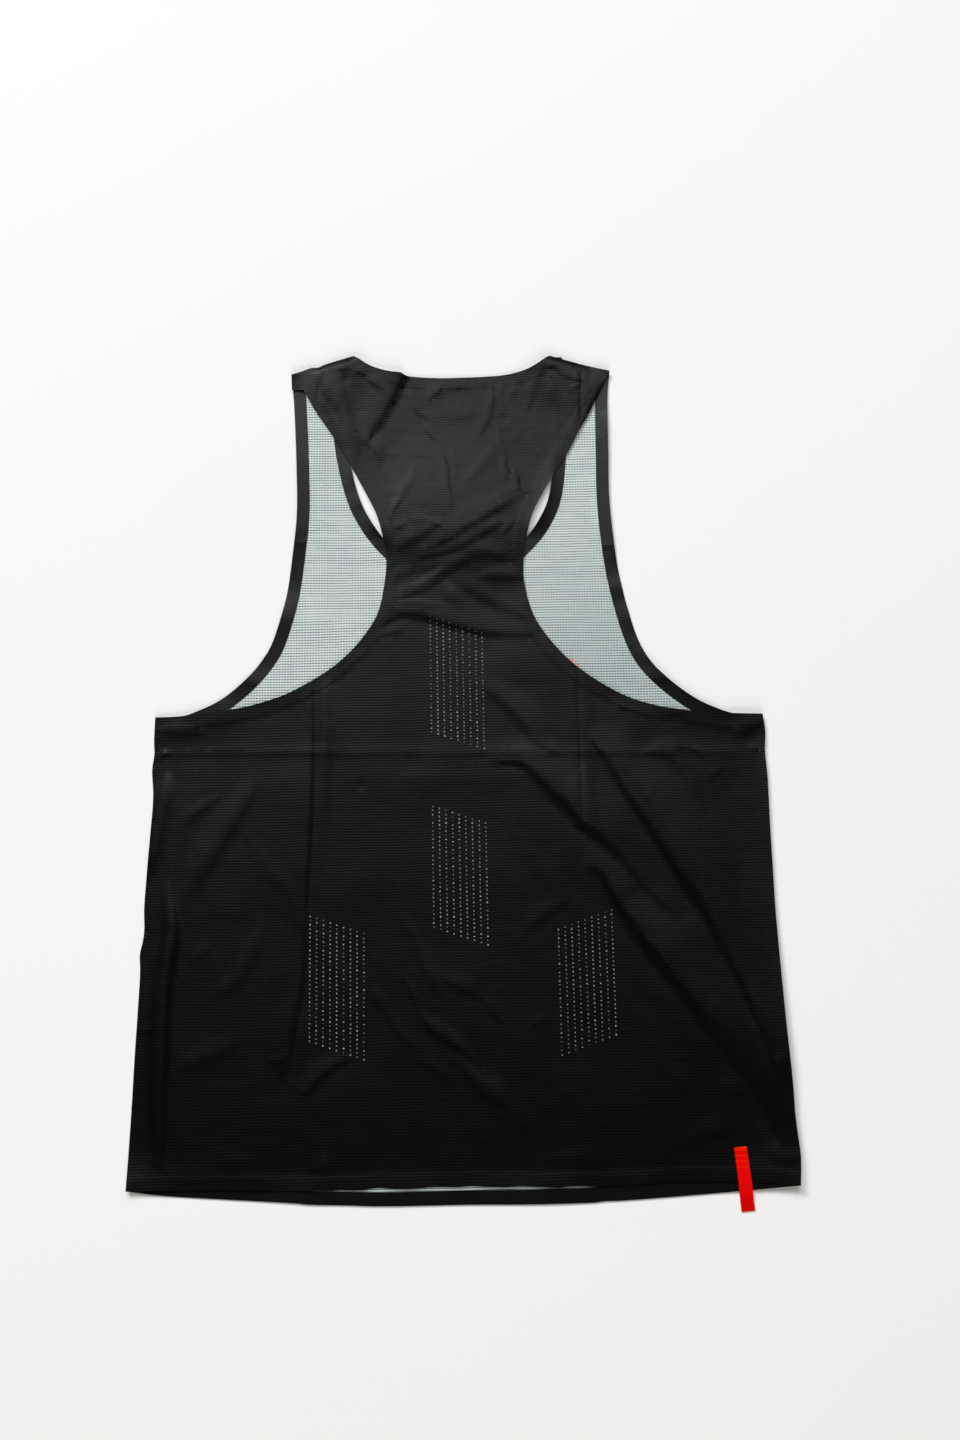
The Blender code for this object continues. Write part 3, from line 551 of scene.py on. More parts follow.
# How far the fold reaches past the tab's end, outside and inside, and the share of its height by which
# each of its two corners is rounded off
FOLD_OUTSIDE = 0.55
FOLD_INSIDE = 0.12
FOLD_ROUND = 0.2

# The seams that the tapes are cut off along: two points each
LEFT_SIDE = (HEM_LEFT, SIDE_LEFT[1])
RIGHT_SIDE = (HEM_RIGHT, SIDE_RIGHT[1])
LEFT_UNDERARM = (UNDERARM_LEFT, SIDE_LEFT[-2])
RIGHT_UNDERARM = (UNDERARM_RIGHT, SIDE_RIGHT[-2])
LEFT_SHOULDER = (SHOULDER_LEFT, NECK_LEFT)
RIGHT_SHOULDER = (SHOULDER_RIGHT, NECK_RIGHT)

# Bonded tapes: piece, CAD node, the front's edge, the seams at its start and end, and widening
TAPES = (
    ("hem_tape", "front_hem_facing", "hem", LEFT_SIDE, RIGHT_SIDE, HEM_WIDENING),
    ("armhole_tape_right", "armhole_facing_right", "right_armhole", RIGHT_UNDERARM, RIGHT_SHOULDER, 0.0),
    ("neck_tape", "front_neck_facing", "neck", RIGHT_SHOULDER[::-1], LEFT_SHOULDER[::-1], 0.0),
    ("armhole_tape_left", "armhole_facing_left", "left_armhole", LEFT_SHOULDER, LEFT_UNDERARM, 0.0),
)


# ---------------------------------------------------------------- curves and outlines

def smooth_curve(points, step):
    """Points about one step apart on a smooth curve through the given ones, with all their columns."""
    knots = np.array(points, float)
    knots = np.vstack([2 * knots[0] - knots[1], knots, 2 * knots[-1] - knots[-2]])
    curve = [knots[1]]
    for before, start, end, after in zip(knots, knots[1:], knots[2:], knots[3:]):
        pieces = max(1, round(math.hypot(*(end - start)[:2]) / step))
        for piece in range(1, pieces + 1):
            share = piece / pieces
            curve.append(before * (-0.5 * share**3 + share**2 - 0.5 * share)
                         + start * (1.5 * share**3 - 2.5 * share**2 + 1.0)
                         + end * (-1.5 * share**3 + 2.0 * share**2 + 0.5 * share)
                         + after * (0.5 * share**3 - 0.5 * share**2))
    return np.array(curve)


def straight(points, step):
    """Points about one step apart on straight runs through the given ones."""
    curve = [np.array(points[0], float)]
    for start, end in zip(points, points[1:]):
        start, end = np.array(start, float), np.array(end, float)
        pieces = max(1, round(math.hypot(*(end - start)) / step))
        curve.extend(start + (end - start) * piece / pieces for piece in range(1, pieces + 1))
    return np.array(curve)


def ring_of(*runs):
    """One closed outline from runs of points, with no point given twice."""
    points = np.vstack(runs)
    apart = np.linalg.norm(points - np.roll(points, 1, axis=0), axis=1)
    return points[apart > SAME_POINT]


def front_edges(step):
    """The front's loose edges as named curves: each runs with the cloth on its left side."""
    left_armhole = [UNDERARM_LEFT] + [row[:2] for row in FRONT_ARMHOLE] + [SHOULDER_LEFT]
    right_armhole = [UNDERARM_RIGHT] + [row[2:] for row in FRONT_ARMHOLE] + [SHOULDER_RIGHT]
    neck = [(left, height) for height, left, right in FRONT_NECK] + [FRONT_NECK_BOTTOM]
    neck += [(right, height) for height, left, right in reversed(FRONT_NECK)]
    return {
        "hem": smooth_curve(FRONT_HEM, step),
        "right_armhole": smooth_curve(right_armhole, step),
        "neck": smooth_curve(neck, step)[::-1],
        "left_armhole": smooth_curve(left_armhole, step)[::-1],
    }


def back_edges(step):
    """The back's loose edges as named curves: each runs with the cloth on its left side."""
    return {
        "hem": smooth_curve(BACK_HEM, step),
        "racer_right": smooth_curve(RACER_RIGHT, step),
        "neck": smooth_curve(BACK_NECK, step)[::-1],
        "racer_left": smooth_curve(RACER_LEFT, step)[::-1],
    }


def front_outline():
    edges = front_edges(EDGE_STEP)
    return ring_of(edges["hem"], smooth_curve(SIDE_RIGHT, EDGE_STEP), edges["right_armhole"],
                   straight([SHOULDER_RIGHT, NECK_RIGHT], EDGE_STEP), edges["neck"],
                   straight([NECK_LEFT, SHOULDER_LEFT], EDGE_STEP), edges["left_armhole"],
                   smooth_curve(SIDE_LEFT, EDGE_STEP)[::-1])


def back_outline():
    edges = back_edges(EDGE_STEP)
    flap = [SHOULDER_LEFT, FLAP_END[1], FLAP_END[0], RACER_LEFT[-1]]
    return ring_of(edges["hem"], smooth_curve(SIDE_RIGHT, EDGE_STEP), edges["racer_right"],
                   straight([SHOULDER_RIGHT, NECK_RIGHT], EDGE_STEP), edges["neck"],
                   smooth_curve(LEFT_STRAP_TOP, EDGE_STEP)[::-1], straight(flap, EDGE_STEP),
                   edges["racer_left"], smooth_curve(SIDE_LEFT, EDGE_STEP)[::-1])


def moved_in(curve, distance):
    """The curve moved to its left side, where the cloth is."""
    along = np.gradient(curve, axis=0)
    along /= np.linalg.norm(along, axis=1)[:, None]
    return curve + np.column_stack([-along[:, 1], along[:, 0]]) * distance


def inside(points, ring):
    """Whether each point is in a closed outline, by counting the edges to its right."""
    result = np.zeros(len(points), bool)
    for (start_x, start_y), (end_x, end_y) in zip(ring, np.roll(ring, -1, axis=0)):
        if start_y == end_y:
            continue
        spans = (start_y > points[:, 1]) != (end_y > points[:, 1])
        crossing = start_x + (points[:, 1] - start_y) / (end_y - start_y) * (end_x - start_x)
        result ^= spans & (points[:, 0] < crossing)
    return result


def nearest(curve, points):
    """For each point, its distance to a curve and the number of the curve's nearest point."""
    tree = KDTree(len(curve))
    for number, (x, y) in enumerate(curve[:, :2]):
        tree.insert((x, y, 0.0), number)
    tree.balance()
    found = [tree.find((x, y, 0.0)) for x, y in points]
    return np.array([hit[2] for hit in found]), np.array([hit[1] for hit in found])


def smooth_step(value):
    value = np.clip(value, 0.0, 1.0)
    return value * value * (3.0 - 2.0 * value)


# ---------------------------------------------------------------- heights of the layers

def flank_width(line, width, side):
    """A flank's width along the crest: less where the fold is low, more if it faces the shoulders."""
    height = np.abs(line[:, 2])
    spread = LOW_FLANK + (1.0 - LOW_FLANK) * height / height.max()
    if width > LEANING_FLANK:
        return width * spread
    along = np.gradient(line[:, :2], axis=0)
    along /= np.linalg.norm(along, axis=1)[:, None]
    facing = side * (along[:, 0] * LEAN_TOWARDS[1] - along[:, 1] * LEAN_TOWARDS[0])
    return width * spread * (1.0 + (LEAN - 1.0) * smooth_step((facing - LEAN_FROM) / LEAN_OVER))


def flank(share, shape):
    """The height left at a share of a flank's width, for its shape from -1 to 1."""
    soft = 0.5 + 0.5 * np.cos(math.pi * share)
    crisp_foot = 1.0 - share * share
    crisp_crest = (1.0 - share) ** 2
    towards_crest = np.maximum(shape, 0.0) * (crisp_crest - soft)
    towards_foot = np.maximum(-shape, 0.0) * (crisp_foot - soft)
    return soft + towards_crest + towards_foot


def fold_heights(folds, points):
    """How far all these folds lift or lower each point."""
    total = np.zeros(len(points))
    for _, left_width, left_shape, right_width, right_shape, crest in folds:
        line = smooth_curve(crest, CURVE_STEP)
        reach = max(left_width, right_width) * LEAN
        low, high = line[:, :2].min(0) - reach, line[:, :2].max(0) + reach
        near = np.nonzero(((points >= low) & (points <= high)).all(1))[0]
        if not len(near):
            continue
        distance, closest = nearest(line, points[near])
        along = np.gradient(line[:, :2], axis=0)
        along = (along / np.linalg.norm(along, axis=1)[:, None])[closest]
        offset = points[near] - line[closest, :2]
        across = along[:, 0] * offset[:, 1] - along[:, 1] * offset[:, 0]
        past_end = (closest == 0) | (closest == len(line) - 1)
        distance = np.where(past_end, distance, np.abs(across))
        on_left = across > 0
        left = flank_width(line, left_width, 1.0)
        right = flank_width(line, right_width, -1.0)
        width = np.where(on_left, left[closest], right[closest])
        share = np.clip(distance / width, 0.0, 1.0)
        total[near] += line[closest, 2] * flank(share, np.where(on_left, left_shape, right_shape))
    return total


def waves(points, size, seed):
    """Smooth noise from 0 to 1 over the plane."""
    return np.array([0.5 + 0.5 * noise.noise((x / size, y / size, seed)) for x, y in points])


def ridges(points, size, seed):
    """Noise folded into ridges: 1 along each ridge, -1 between them."""
    return 1.0 - np.abs(waves(points, size, seed) * 4.0 - 2.0)


def fade_out(distance, reach):
    """1 at no distance, gently down to 0 at the reach."""
    share = np.clip(1.0 - distance / reach, 0.0, 1.0)
    return share * share


def flutter(curve, points):
    """A loose edge's waves: strongest at the edge, gone at their reach."""
    distance, number = nearest(curve, points)
    place = number * CURVE_STEP / FLUTTER_WAVE
    swing = np.array([noise.noise((step, FLUTTER_SEED, 0.5)) for step in place])
    crest = np.maximum(0.0, swing + FLUTTER_BIAS) * FLUTTER_GAIN
    return FLUTTER_HEIGHT * crest * fade_out(distance, FLUTTER_REACH)


def edge_lift(curve, side, reach, rows, points):
    """A loose edge's lift by its rows, on one side of the centre line: whole at the edge itself."""
    distance, number = nearest(curve, points)
    heights = smooth_curve(rows, CURVE_STEP)
    lift = np.interp(curve[number, 1], heights[:, 0], heights[:, 1])
    return np.where(points[:, 0] * side >= 0.0, lift * fade_out(distance, reach), 0.0)


def shoulder_distance(points):
    left = nearest(straight([SHOULDER_LEFT, NECK_LEFT], CURVE_STEP), points)[0]
    right = nearest(straight([NECK_RIGHT, SHOULDER_RIGHT], CURVE_STEP), points)[0]
    return np.minimum(left, right)


def side_distance(points):
    """How far each point is from the left side seam, and from the right one."""
    left = nearest(smooth_curve(SIDE_LEFT, CURVE_STEP), points)[0]
    right = nearest(smooth_curve(SIDE_RIGHT, CURVE_STEP), points)[0]
    return left, right


def seam_share(points):
    """How much of the back's folds the front takes over: all at the side seams, none further in."""
    return 1.0 - smooth_step(np.minimum(*side_distance(points)) / SEAM_SHARE)


def front_low(points):
    """The front's underside: on the surface, except where an edge or a corner lifts."""
    low = np.zeros(len(points))
    for (x, y), height, reach in CORNER_LIFTS:
        low += height * fade_out(np.hypot(points[:, 0] - x, points[:, 1] - y), reach)
    curl = np.interp(points[:, 1], *zip(*SIDE_CURL))
    low += curl * fade_out(side_distance(points)[1], SIDE_CURL_REACH)
    edges = front_edges(CURVE_STEP)
    for edge, side, reach, rows in EDGE_LIFTS:
        low += edge_lift(edges[edge], side, reach, rows, points)
    low += SHOULDER_FRONT_RISE * (1.0 - smooth_step(shoulder_distance(points) / SHOULDER_ROUND))
    height, size, seed = FRONT_UNEVEN
    low += height * np.clip(waves(points, size, seed) * 2.0 - FRONT_FLAT, 0.0, 1.0)
    low += np.maximum(fold_heights(FRONT_FOLDS, points), 0.0)
    low += np.maximum(fold_heights(BACK_FOLDS, points), 0.0) * seam_share(points)
    return low


def stack_top(points):
    """What the back lies on: the front and its tapes, and less and less over the front's neck scoop."""
    edges = front_edges(CURVE_STEP)
    distance = np.min([nearest(curve, points)[0] for curve in edges.values()], axis=0)
    on_tape = smooth_step((TAPE_WIDTH + TAPE_RUN_OUT - distance) / TAPE_RUN_OUT)
    top = front_low(points) + CLOTH + (TAPE + GAP) * on_tape
    in_scoop = inside(points, edges["neck"])
    sag = 1.0 - smooth_step(nearest(edges["neck"], points)[0] / SCOOP_SAG)
    return np.where(in_scoop, top * sag, top)


def vent_calm(points):
    """A share that holds the cloth down over the vent fields, so that the front shows through them."""
    calm = np.ones(len(points))
    half_x = VENT_COLUMNS * VENT_COLUMN_PITCH / 2
    half_y = VENT_ROWS * VENT_ROW_PITCH / 2 + VENT_COLUMN_STEP
    for x, y, _ in VENTS:
        beyond = np.maximum(np.abs(points[:, 0] - x) - half_x, np.abs(points[:, 1] - y) - half_y)
        calm = np.minimum(calm, VENT_CALM + (1.0 - VENT_CALM) * smooth_step(beyond / VENT_EASE))
    return calm


def crumple(points):
    """Fine sharp creases in two directions, strong in the upper part and faint in the body."""
    rise = smooth_step((points[:, 1] - CRUMPLE_FROM) / (CRUMPLE_WHOLE - CRUMPLE_FROM))
    creases = sum(ridges(points * drawn, size, seed) for size, seed, drawn in CRUMPLE_RIDGES)
    return CRUMPLE_HEIGHT * creases * (CRUMPLE_BODY + (1.0 - CRUMPLE_BODY) * rise)


def bonded_distance(points):
    """How far each point is from the nearest edge of the back that has a tape bonded under it."""
    return np.min([nearest(curve, points)[0] for curve in back_edges(CURVE_STEP).values()], axis=0)


def back_low(points):
    """The back's underside: on the stack, lifted by its folds, its loose edges and the shoulder fold."""
    seam = smooth_step(np.minimum(*side_distance(points)) / SEAM_EASE)
    shoulder = shoulder_distance(points)
    off_shoulder = smooth_step(shoulder / SHOULDER_ROUND)
    uneven = sum(height * waves(points, size, seed) for height, size, seed in BACK_UNEVEN)
    lift = (BACK_LOFT + uneven) * seam * off_shoulder
    rise = SHOULDER_RISE * smooth_step((SHOULDER_CORNER - np.abs(points[:, 0])) / SHOULDER_CORNER_EASE)
    lift += rise * off_shoulder * (1.0 - smooth_step(shoulder / SHOULDER_REACH))
    edges = back_edges(CURVE_STEP)
    for name in ("racer_left", "racer_right", "neck", "hem"):
        lift += flutter(edges[name], points) * seam
    lift = (lift + crumple(points) * seam) * vent_calm(points)
    lift += fold_heights(BACK_FOLDS, points) * (1.0 - seam_share(points))
    lift = np.maximum(lift, 0.0) + np.interp(bonded_distance(points), *zip(*BONDED_STEP))
    return stack_top(points) + GAP + np.maximum(lift, 0.0)


# ---------------------------------------------------------------- meshes

def vent_centres():
    """The middle of every vent hole."""
    centres = []
    for middle_x, middle_y, slope in VENTS:
        for column in range(VENT_COLUMNS):
            across = column - (VENT_COLUMNS - 1) / 2
            for row in range(VENT_ROWS):
                up = (row - (VENT_ROWS - 1) / 2) * VENT_ROW_PITCH - slope * VENT_COLUMN_STEP * across
                centres.append((middle_x + across * VENT_COLUMN_PITCH, middle_y + up))
    return np.array(centres)


def vent_rings(centres):
    """A small ring for each hole, each a little larger or smaller than the next."""
    turn = np.arange(VENT_SIDES) * 2.0 * math.pi / VENT_SIDES + math.pi / VENT_SIDES
    rings = []
    for x, y in centres:
        place = (x * VENT_NOISE_SCALE, y * VENT_NOISE_SCALE, VENT_SEED)
        radius = VENT_RADIUS * (1.0 + VENT_UNEVEN * noise.noise(place))
        ring_x = x + radius * np.cos(turn)
        ring_y = y + radius * VENT_LENGTHENING * np.sin(turn)
        rings.append(np.column_stack([ring_x, ring_y]))
    return rings


def grid(ring, cell):
    """A triangular grid of points over an outline's box."""
    low, high = ring.min(0), ring.max(0)
    rows = np.arange(low[1] + cell * 0.4, high[1], cell * math.sqrt(0.75))
    points = []
    for number, y in enumerate(rows):
        xs = np.arange(low[0] + cell * 0.5 * (number % 2), high[0], cell)
        points.append(np.column_stack([xs, np.full(len(xs), y)]))
    return np.vstack(points)


def fill(ring, lines, holes, cell, hole_centres=None):
    """Triangles that fill an outline around its holes, with an edge along each of the given lines."""
    points = grid(ring, cell)
    points = points[inside(points, ring)]
    closed = np.vstack([ring, ring[:1]])
    points = points[nearest(closed, points)[0] > cell * CELLS_TO_EDGE]
    if lines:
        points = points[nearest(np.vstack(lines), points)[0] > cell * CELLS_TO_LINE]
    if hole_centres is not None:
        points = points[nearest(hole_centres, points)[0] > VENT_RADIUS * RADII_TO_VENT]
    edges = []
    first = 0
    for runs, is_closed in (([ring], True), (lines, False), (holes, True)):
        for run in runs:
            edges += [(first + step, first + step + 1) for step in range(len(run) - 1)]
            if is_closed:
                edges.append((first + len(run) - 1, first))
            first += len(run)
    flat = [Vector(place) for place in np.vstack([ring] + lines + holes + [points])]
    found, _, faces, *_ = delaunay_2d_cdt(flat, edges, [], 0, 0.001)
    found = np.array(found)
    faces = np.array(faces)
    middles = found[faces].mean(1)
    keep = inside(middles, ring)
    if hole_centres is not None:
        keep &= nearest(hole_centres, middles)[0] > VENT_RADIUS * RADII_IN_VENT
    return found, faces[keep]


def to_frame(places, heights):
    """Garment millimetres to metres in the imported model's frame."""
    return np.column_stack([places[:, 0] * MM + ORIGIN.x, places[:, 1] * MM + ORIGIN.y, heights * MM])


def add_mesh(name, vertices, faces, materials, face_materials=None):
    mesh = bpy.data.meshes.new(name)
    mesh.from_pydata(vertices.tolist(), [], faces)
    for material in materials:
        mesh.materials.append(material)
    if face_materials is not None:
        mesh.polygons.foreach_set("material_index", face_materials)
    mesh.shade_smooth()
    mesh.set_sharp_from_angle(angle=SHARP_ANGLE)
    piece = bpy.data.objects.new(name, mesh)
    bpy.context.scene.collection.objects.link(piece)
    return piece


def add_shell(name, places, faces, lows, thickness, materials, hole_centres=None):
    """A closed wall from a filled outline. Its materials are those of its top, underside and cut edge."""
    used, faces = np.unique(faces, return_inverse=True)
    faces = faces.reshape(-1, 3)
    places, lows = places[used], lows[used]
    count = len(used)
    sides = np.vstack([faces[:, [0, 1]], faces[:, [1, 2]], faces[:, [2, 0]]])
    codes = sides[:, 0].astype(np.int64) * count + sides[:, 1]
    opposite = sides[:, 1].astype(np.int64) * count + sides[:, 0]
    rim = sides[~np.isin(codes, opposite)]
    walls = np.column_stack([rim[:, 0], rim[:, 1], rim[:, 1] + count, rim[:, 0] + count])
    solid = (faces + count).tolist() + faces[:, ::-1].tolist() + walls.tolist()
    in_hole = np.zeros(len(rim), bool)
    if hole_centres is not None:
        in_hole = nearest(hole_centres, places[rim].mean(1))[0] < VENT_RADIUS * RADII_OF_RIM
    kinds = [0] * len(faces) + [1] * len(faces) + np.where(in_hole, 1, 2).tolist()
    vertices = np.vstack([to_frame(places, lows), to_frame(places, lows + thickness)])
    return add_mesh(name, vertices, solid, materials, kinds)


def add_front(materials):
    places, faces = fill(front_outline(), [], [], FRONT_CELL)
    return add_shell("front_cloth", places, faces, front_low(places), CLOTH, materials)


def clear_runs(line, clear):
    """The stretches of a line where its points are clear, each two points or more."""
    starts = np.nonzero(clear & ~np.append(False, clear[:-1]))[0]
    ends = np.nonzero(clear & ~np.append(clear[1:], False))[0] + 1
    return [line[start:end] for start, end in zip(starts, ends) if end - start > 1]


def bonded_lines(ring):
    """Mesh lines along both sides of the bonded tape's inner edge, clear of the outline."""
    closed = np.vstack([ring, ring[:1]])
    lines = []
    for curve in back_edges(EDGE_STEP).values():
        for distance in (BONDED_STEP[1][0], BONDED_STEP[2][0]):
            line = moved_in(curve, distance)
            lines += clear_runs(line, inside(line, ring) & (nearest(closed, line)[0] > LINE_TO_EDGE))
    return lines


def fold_lines(folds, ring, centres):
    """Mesh lines along each crest, and along the middle and the foot of each narrow flank."""
    closed = np.vstack([ring, ring[:1]])
    lines = []
    for _, left_width, left_shape, right_width, right_shape, crest in folds:
        curve = smooth_curve(crest, EDGE_STEP)
        height = np.abs(curve[:, 2])
        curve = curve[height > LINED_CREST * height.max()]
        offsets = [np.zeros(len(curve))]
        for width, shape, side in ((left_width, left_shape, 1.0), (right_width, right_shape, -1.0)):
            if width > LINED_FLANK:
                continue
            foot = side * flank_width(curve, width, side)
            offsets.append(foot)
            if width >= HALVED_FLANK:
                offsets.append(foot * 0.5)
            if shape <= CRISP_FOOT:
                offsets.append(foot + side)
        for offset in offsets:
            line = moved_in(curve[:, :2], offset[:, None])
            clear = inside(line, ring)
            clear &= nearest(closed, line)[0] > LINE_TO_EDGE
            clear &= nearest(centres, line)[0] > LINE_TO_VENT
            lines += clear_runs(line, clear)
    return lines


def add_back(materials):
    ring = back_outline()
    centres = vent_centres()
    lines = bonded_lines(ring) + fold_lines(BACK_FOLDS, ring, centres)
    places, faces = fill(ring, lines, vent_rings(centres), BACK_CELL, centres)
    return add_shell("back_cloth", places, faces, back_low(places), CLOTH, materials, centres)


def add_tape(name, curve_name, seams, widening, material):
    """A bonded tape along one of the front's edges, cut off along the seams that it runs into."""
    outer = front_edges(TAPE_STEP)[curve_name]
    width = TAPE_WIDTH + widening * outer[:, :1]
    inner = moved_in(outer, width)
    runs = (outer[1] - outer[0], outer[-1] - outer[-2])
    for end, run, (start, stop) in zip((0, -1), runs, seams):
        seam = np.array(stop, float) - np.array(start, float)
        seam /= np.linalg.norm(seam)
        run = run / np.linalg.norm(run)
        inner[end] = outer[end] + seam * width[end] / abs(run[0] * seam[1] - run[1] * seam[0])
    count = len(outer)
    shares = np.linspace(0.0, 1.0, TAPE_CELLS_ACROSS + 1)
    places = np.vstack([outer + (inner - outer) * share for share in shares])
    faces = []
    for across in range(TAPE_CELLS_ACROSS):
        for step in range(count - 1):
            corner = across * count + step
            faces.append((corner, corner + 1, corner + count + 1))
            faces.append((corner, corner + count + 1, corner + count))
    lows = front_low(places) + CLOTH + GAP
    return add_shell(name, places, np.array(faces), lows, TAPE, [material] * 3)


def tab_ground(points):
    """What the tab lies on: the back, then the front's hem tape, then the surface."""
    on_back = back_low(points) + CLOTH
    on_front = front_low(points) + CLOTH + GAP + TAPE
    shares = []
    for hem, (start, over) in ((BACK_HEM, TAB_PAST_BACK), (FRONT_HEM, TAB_PAST_FRONT)):
        edge = np.interp(points[:, 0], *zip(*hem))
        shares.append(smooth_step((edge - points[:, 1] - start) / over))
    past_back, past_front = shares
    return (on_back * (1.0 - past_back) + on_front * past_back) * (1.0 - past_front)


def tab_heights(runs, steps):
    """Heights of the tab's lower layer, underside and top, and of its upper one, by column and step."""
    ground = np.array([tab_ground(run) for run in runs])
    spanned = np.maximum.accumulate(ground[:, ::-1], axis=1)[:, ::-1]
    ground = np.maximum(spanned * TAB_SPAN + ground * (1.0 - TAB_SPAN), ground)
    strength = np.exp(-((steps - CRINKLE_MIDDLE) / CRINKLE_SPREAD) ** 2)
    crinkle = CRINKLE_HEIGHT * np.sin(steps / CRINKLE_PITCH * 2.0 * math.pi) * strength
    band = smooth_step((TAB_BAND - steps) / TAB_BAND_EASE)
    low = ground + GAP
    upper = low + (TAB_CLOTH + TAB_CLEARANCE) + np.maximum(crinkle, CRINKLE_LOWEST) + TAB_LOOSE
    upper += band * TAB_BAND_RISE
    return low, low + TAB_CLOTH, upper, upper + TAB_CLOTH


def tab_profile(edge, along, low, under, upper, top, curl):
    """One closed outline along the tab: over the top, round the fold, back below and through inside."""
    outer_tip = edge[-1] + along * FOLD_OUTSIDE
    inner_tip = edge[-1] + along * FOLD_INSIDE
    fold_top = top[-1] * (1.0 - FOLD_ROUND) + low[-1] * FOLD_ROUND
    fold_low = top[-1] * FOLD_ROUND + low[-1] * (1.0 - FOLD_ROUND)
    return np.vstack([
        np.column_stack([edge, top + curl]),
        (*outer_tip, fold_top),
        (*outer_tip, fold_low),
        np.column_stack([edge, low])[::-1],
        np.column_stack([edge, under]),
        (*inner_tip, (under[-1] + upper[-1]) / 2),
        np.column_stack([edge, upper])[::-1],
    ])


def tab_faces(count, columns):
    """Faces between the profiles, and the two side walls: two strips that meet at the fold."""
    ring = 4 * count + 3
    faces = []
    for first in range(0, (columns - 1) * ring, ring):
        for step in range(ring):
            following = (step + 1) % ring
            second = first + ring
            faces.append((first + step, first + following, second + following, second + step))
    # Where each run of a profile has its points, by step
    top = range(count)
    fold_top, fold_low = count, count + 1
    low = range(2 * count + 1, count + 1, -1)
    under = range(2 * count + 2, 3 * count + 2)
    inner_tip = 3 * count + 2
    upper = range(4 * count + 2, 3 * count + 2, -1)
    wall = []
    for step in range(count - 1):
        wall.append((top[step], top[step + 1], upper[step + 1], upper[step]))
        wall.append((low[step], under[step], under[step + 1], low[step + 1]))
    wall.append((top[-1], fold_top, inner_tip, upper[-1]))
    wall.append((fold_top, fold_low, inner_tip))
    wall.append((fold_low, low[-1], under[-1], inner_tip))
    last = (columns - 1) * ring
    faces += [face[::-1] for face in wall]
    faces += [tuple(corner + last for corner in face) for face in wall]
    return faces


def add_tab(material):
    """A tape that runs down from its stitched top, folds under at the end and runs back up."""
    top, end = np.array(TAB_TOP), np.array(TAB_END)
    length = np.linalg.norm(end - top)
    along = (end - top) / length
    across = np.array((-along[1], along[0]))
    steps = np.linspace(0.0, length, TAB_STEPS)
    middle = top + along * steps[:, None]
    columns = np.linspace(-0.5, 0.5, TAB_COLUMNS)
    heights = tab_heights([middle + across * column * TAB_WIDTH for column in columns], steps)
    widths = TAB_WIDTH * (TAB_TOP_SHARE + (1.0 - TAB_TOP_SHARE) * steps / length)
    profiles = []
    for number, column in enumerate(columns):
        edge = middle + across * (column * widths)[:, None]
        curl = TAB_SIDE_CURL * (2.0 * abs(column)) ** 2
        profiles.append(tab_profile(edge, along, *(layer[number] for layer in heights), curl))
    vertices = np.vstack(profiles)
    faces = tab_faces(TAB_STEPS, TAB_COLUMNS)
    return add_mesh("red_tab", to_frame(vertices[:, :2], vertices[:, 2]), faces, [material])


# ---------------------------------------------------------------- materials

# The knit's ribs: their pitch, the half width and softness of a rib as shares of it, and how they wander
RIB_PITCH = 0.00221
RIB = (0.24, 0.18)
RIB_WANDER = 0.0030
RIB_WANDER_SCALE = 14.0

# The dashes between the ribs on the inside: pitch, and the half width and softness of row and dash
DASH_PITCH = 0.00228
DASH_ROW = (0.17, 0.06)
DASH = (0.30, 0.06)

# Where painted shade darkens the inside: from the middle to the right, and up to here
SHADE_FROM = 540.0
SHADE_OVER = 140.0
SHADE_ACROSS = 0.08

# The print on the front: a chequered band between two corners, in millimetres, and its checks
BAND_LOW = (-84.0, 372.0)
BAND_HIGH = (100.0, 412.0)
BAND_EDGE = 0.0003
CHECK = 0.008
CHECK_SHAPE = (0.25, 0.01)
PRINT_THROUGH = 0.55

# Places down the tab in metres: the painted highlight along the edge at its top, the painted highlights
# on the crinkles and the deeper red of its end
EDGE_HIGHLIGHT = (-0.002, 0.0009, 0.0004)
CRINKLE_HIGHLIGHTS = (-0.001, 0.018, 0.004)
CRINKLE_HIGHLIGHT_SHAPE = (0.06, 0.12)
DEEP_END = (0.030, 0.1, 0.014)
WEFT_PITCH = 0.0007
WEFT = (0.25, 0.15)

BLACK = (0.0002, 0.0002, 0.0003, 1.0)
# Raised ribs of the black knit: partly the yarn's own dark grey, partly painted highlight
BLACK_RIB_HIGHLIGHT = (0.0023, 0.0025, 0.0027, 1.0)
TAPE_BLACK = (0.0010, 0.0010, 0.0012, 1.0)
TAPE_LIGHTER = (0.0030, 0.0031, 0.0033, 1.0)
PALE = (0.72, 0.79, 0.78, 1.0)
PALE_SHADED = (0.58, 0.66, 0.66, 1.0)
# Painted shade for the inside's lower right
PALE_PAINTED_SHADE = (0.49, 0.57, 0.565, 1.0)
HOLLOW = (0.020, 0.035, 0.042, 1.0)
ORANGE = (0.82, 0.13, 0.035, 1.0)
RED = (0.80, 0.0012, 0.0002, 1.0)
RED_DEEP = (0.62, 0.0008, 0.0002, 1.0)
# Painted orange highlight of the red ribbon
RED_HIGHLIGHT = (0.90, 0.045, 0.0010, 1.0)
FLOOR_SHADED = (0.908, 0.895, 0.898, 1.0)
FLOOR_PALE = (0.928, 0.915, 0.918, 1.0)


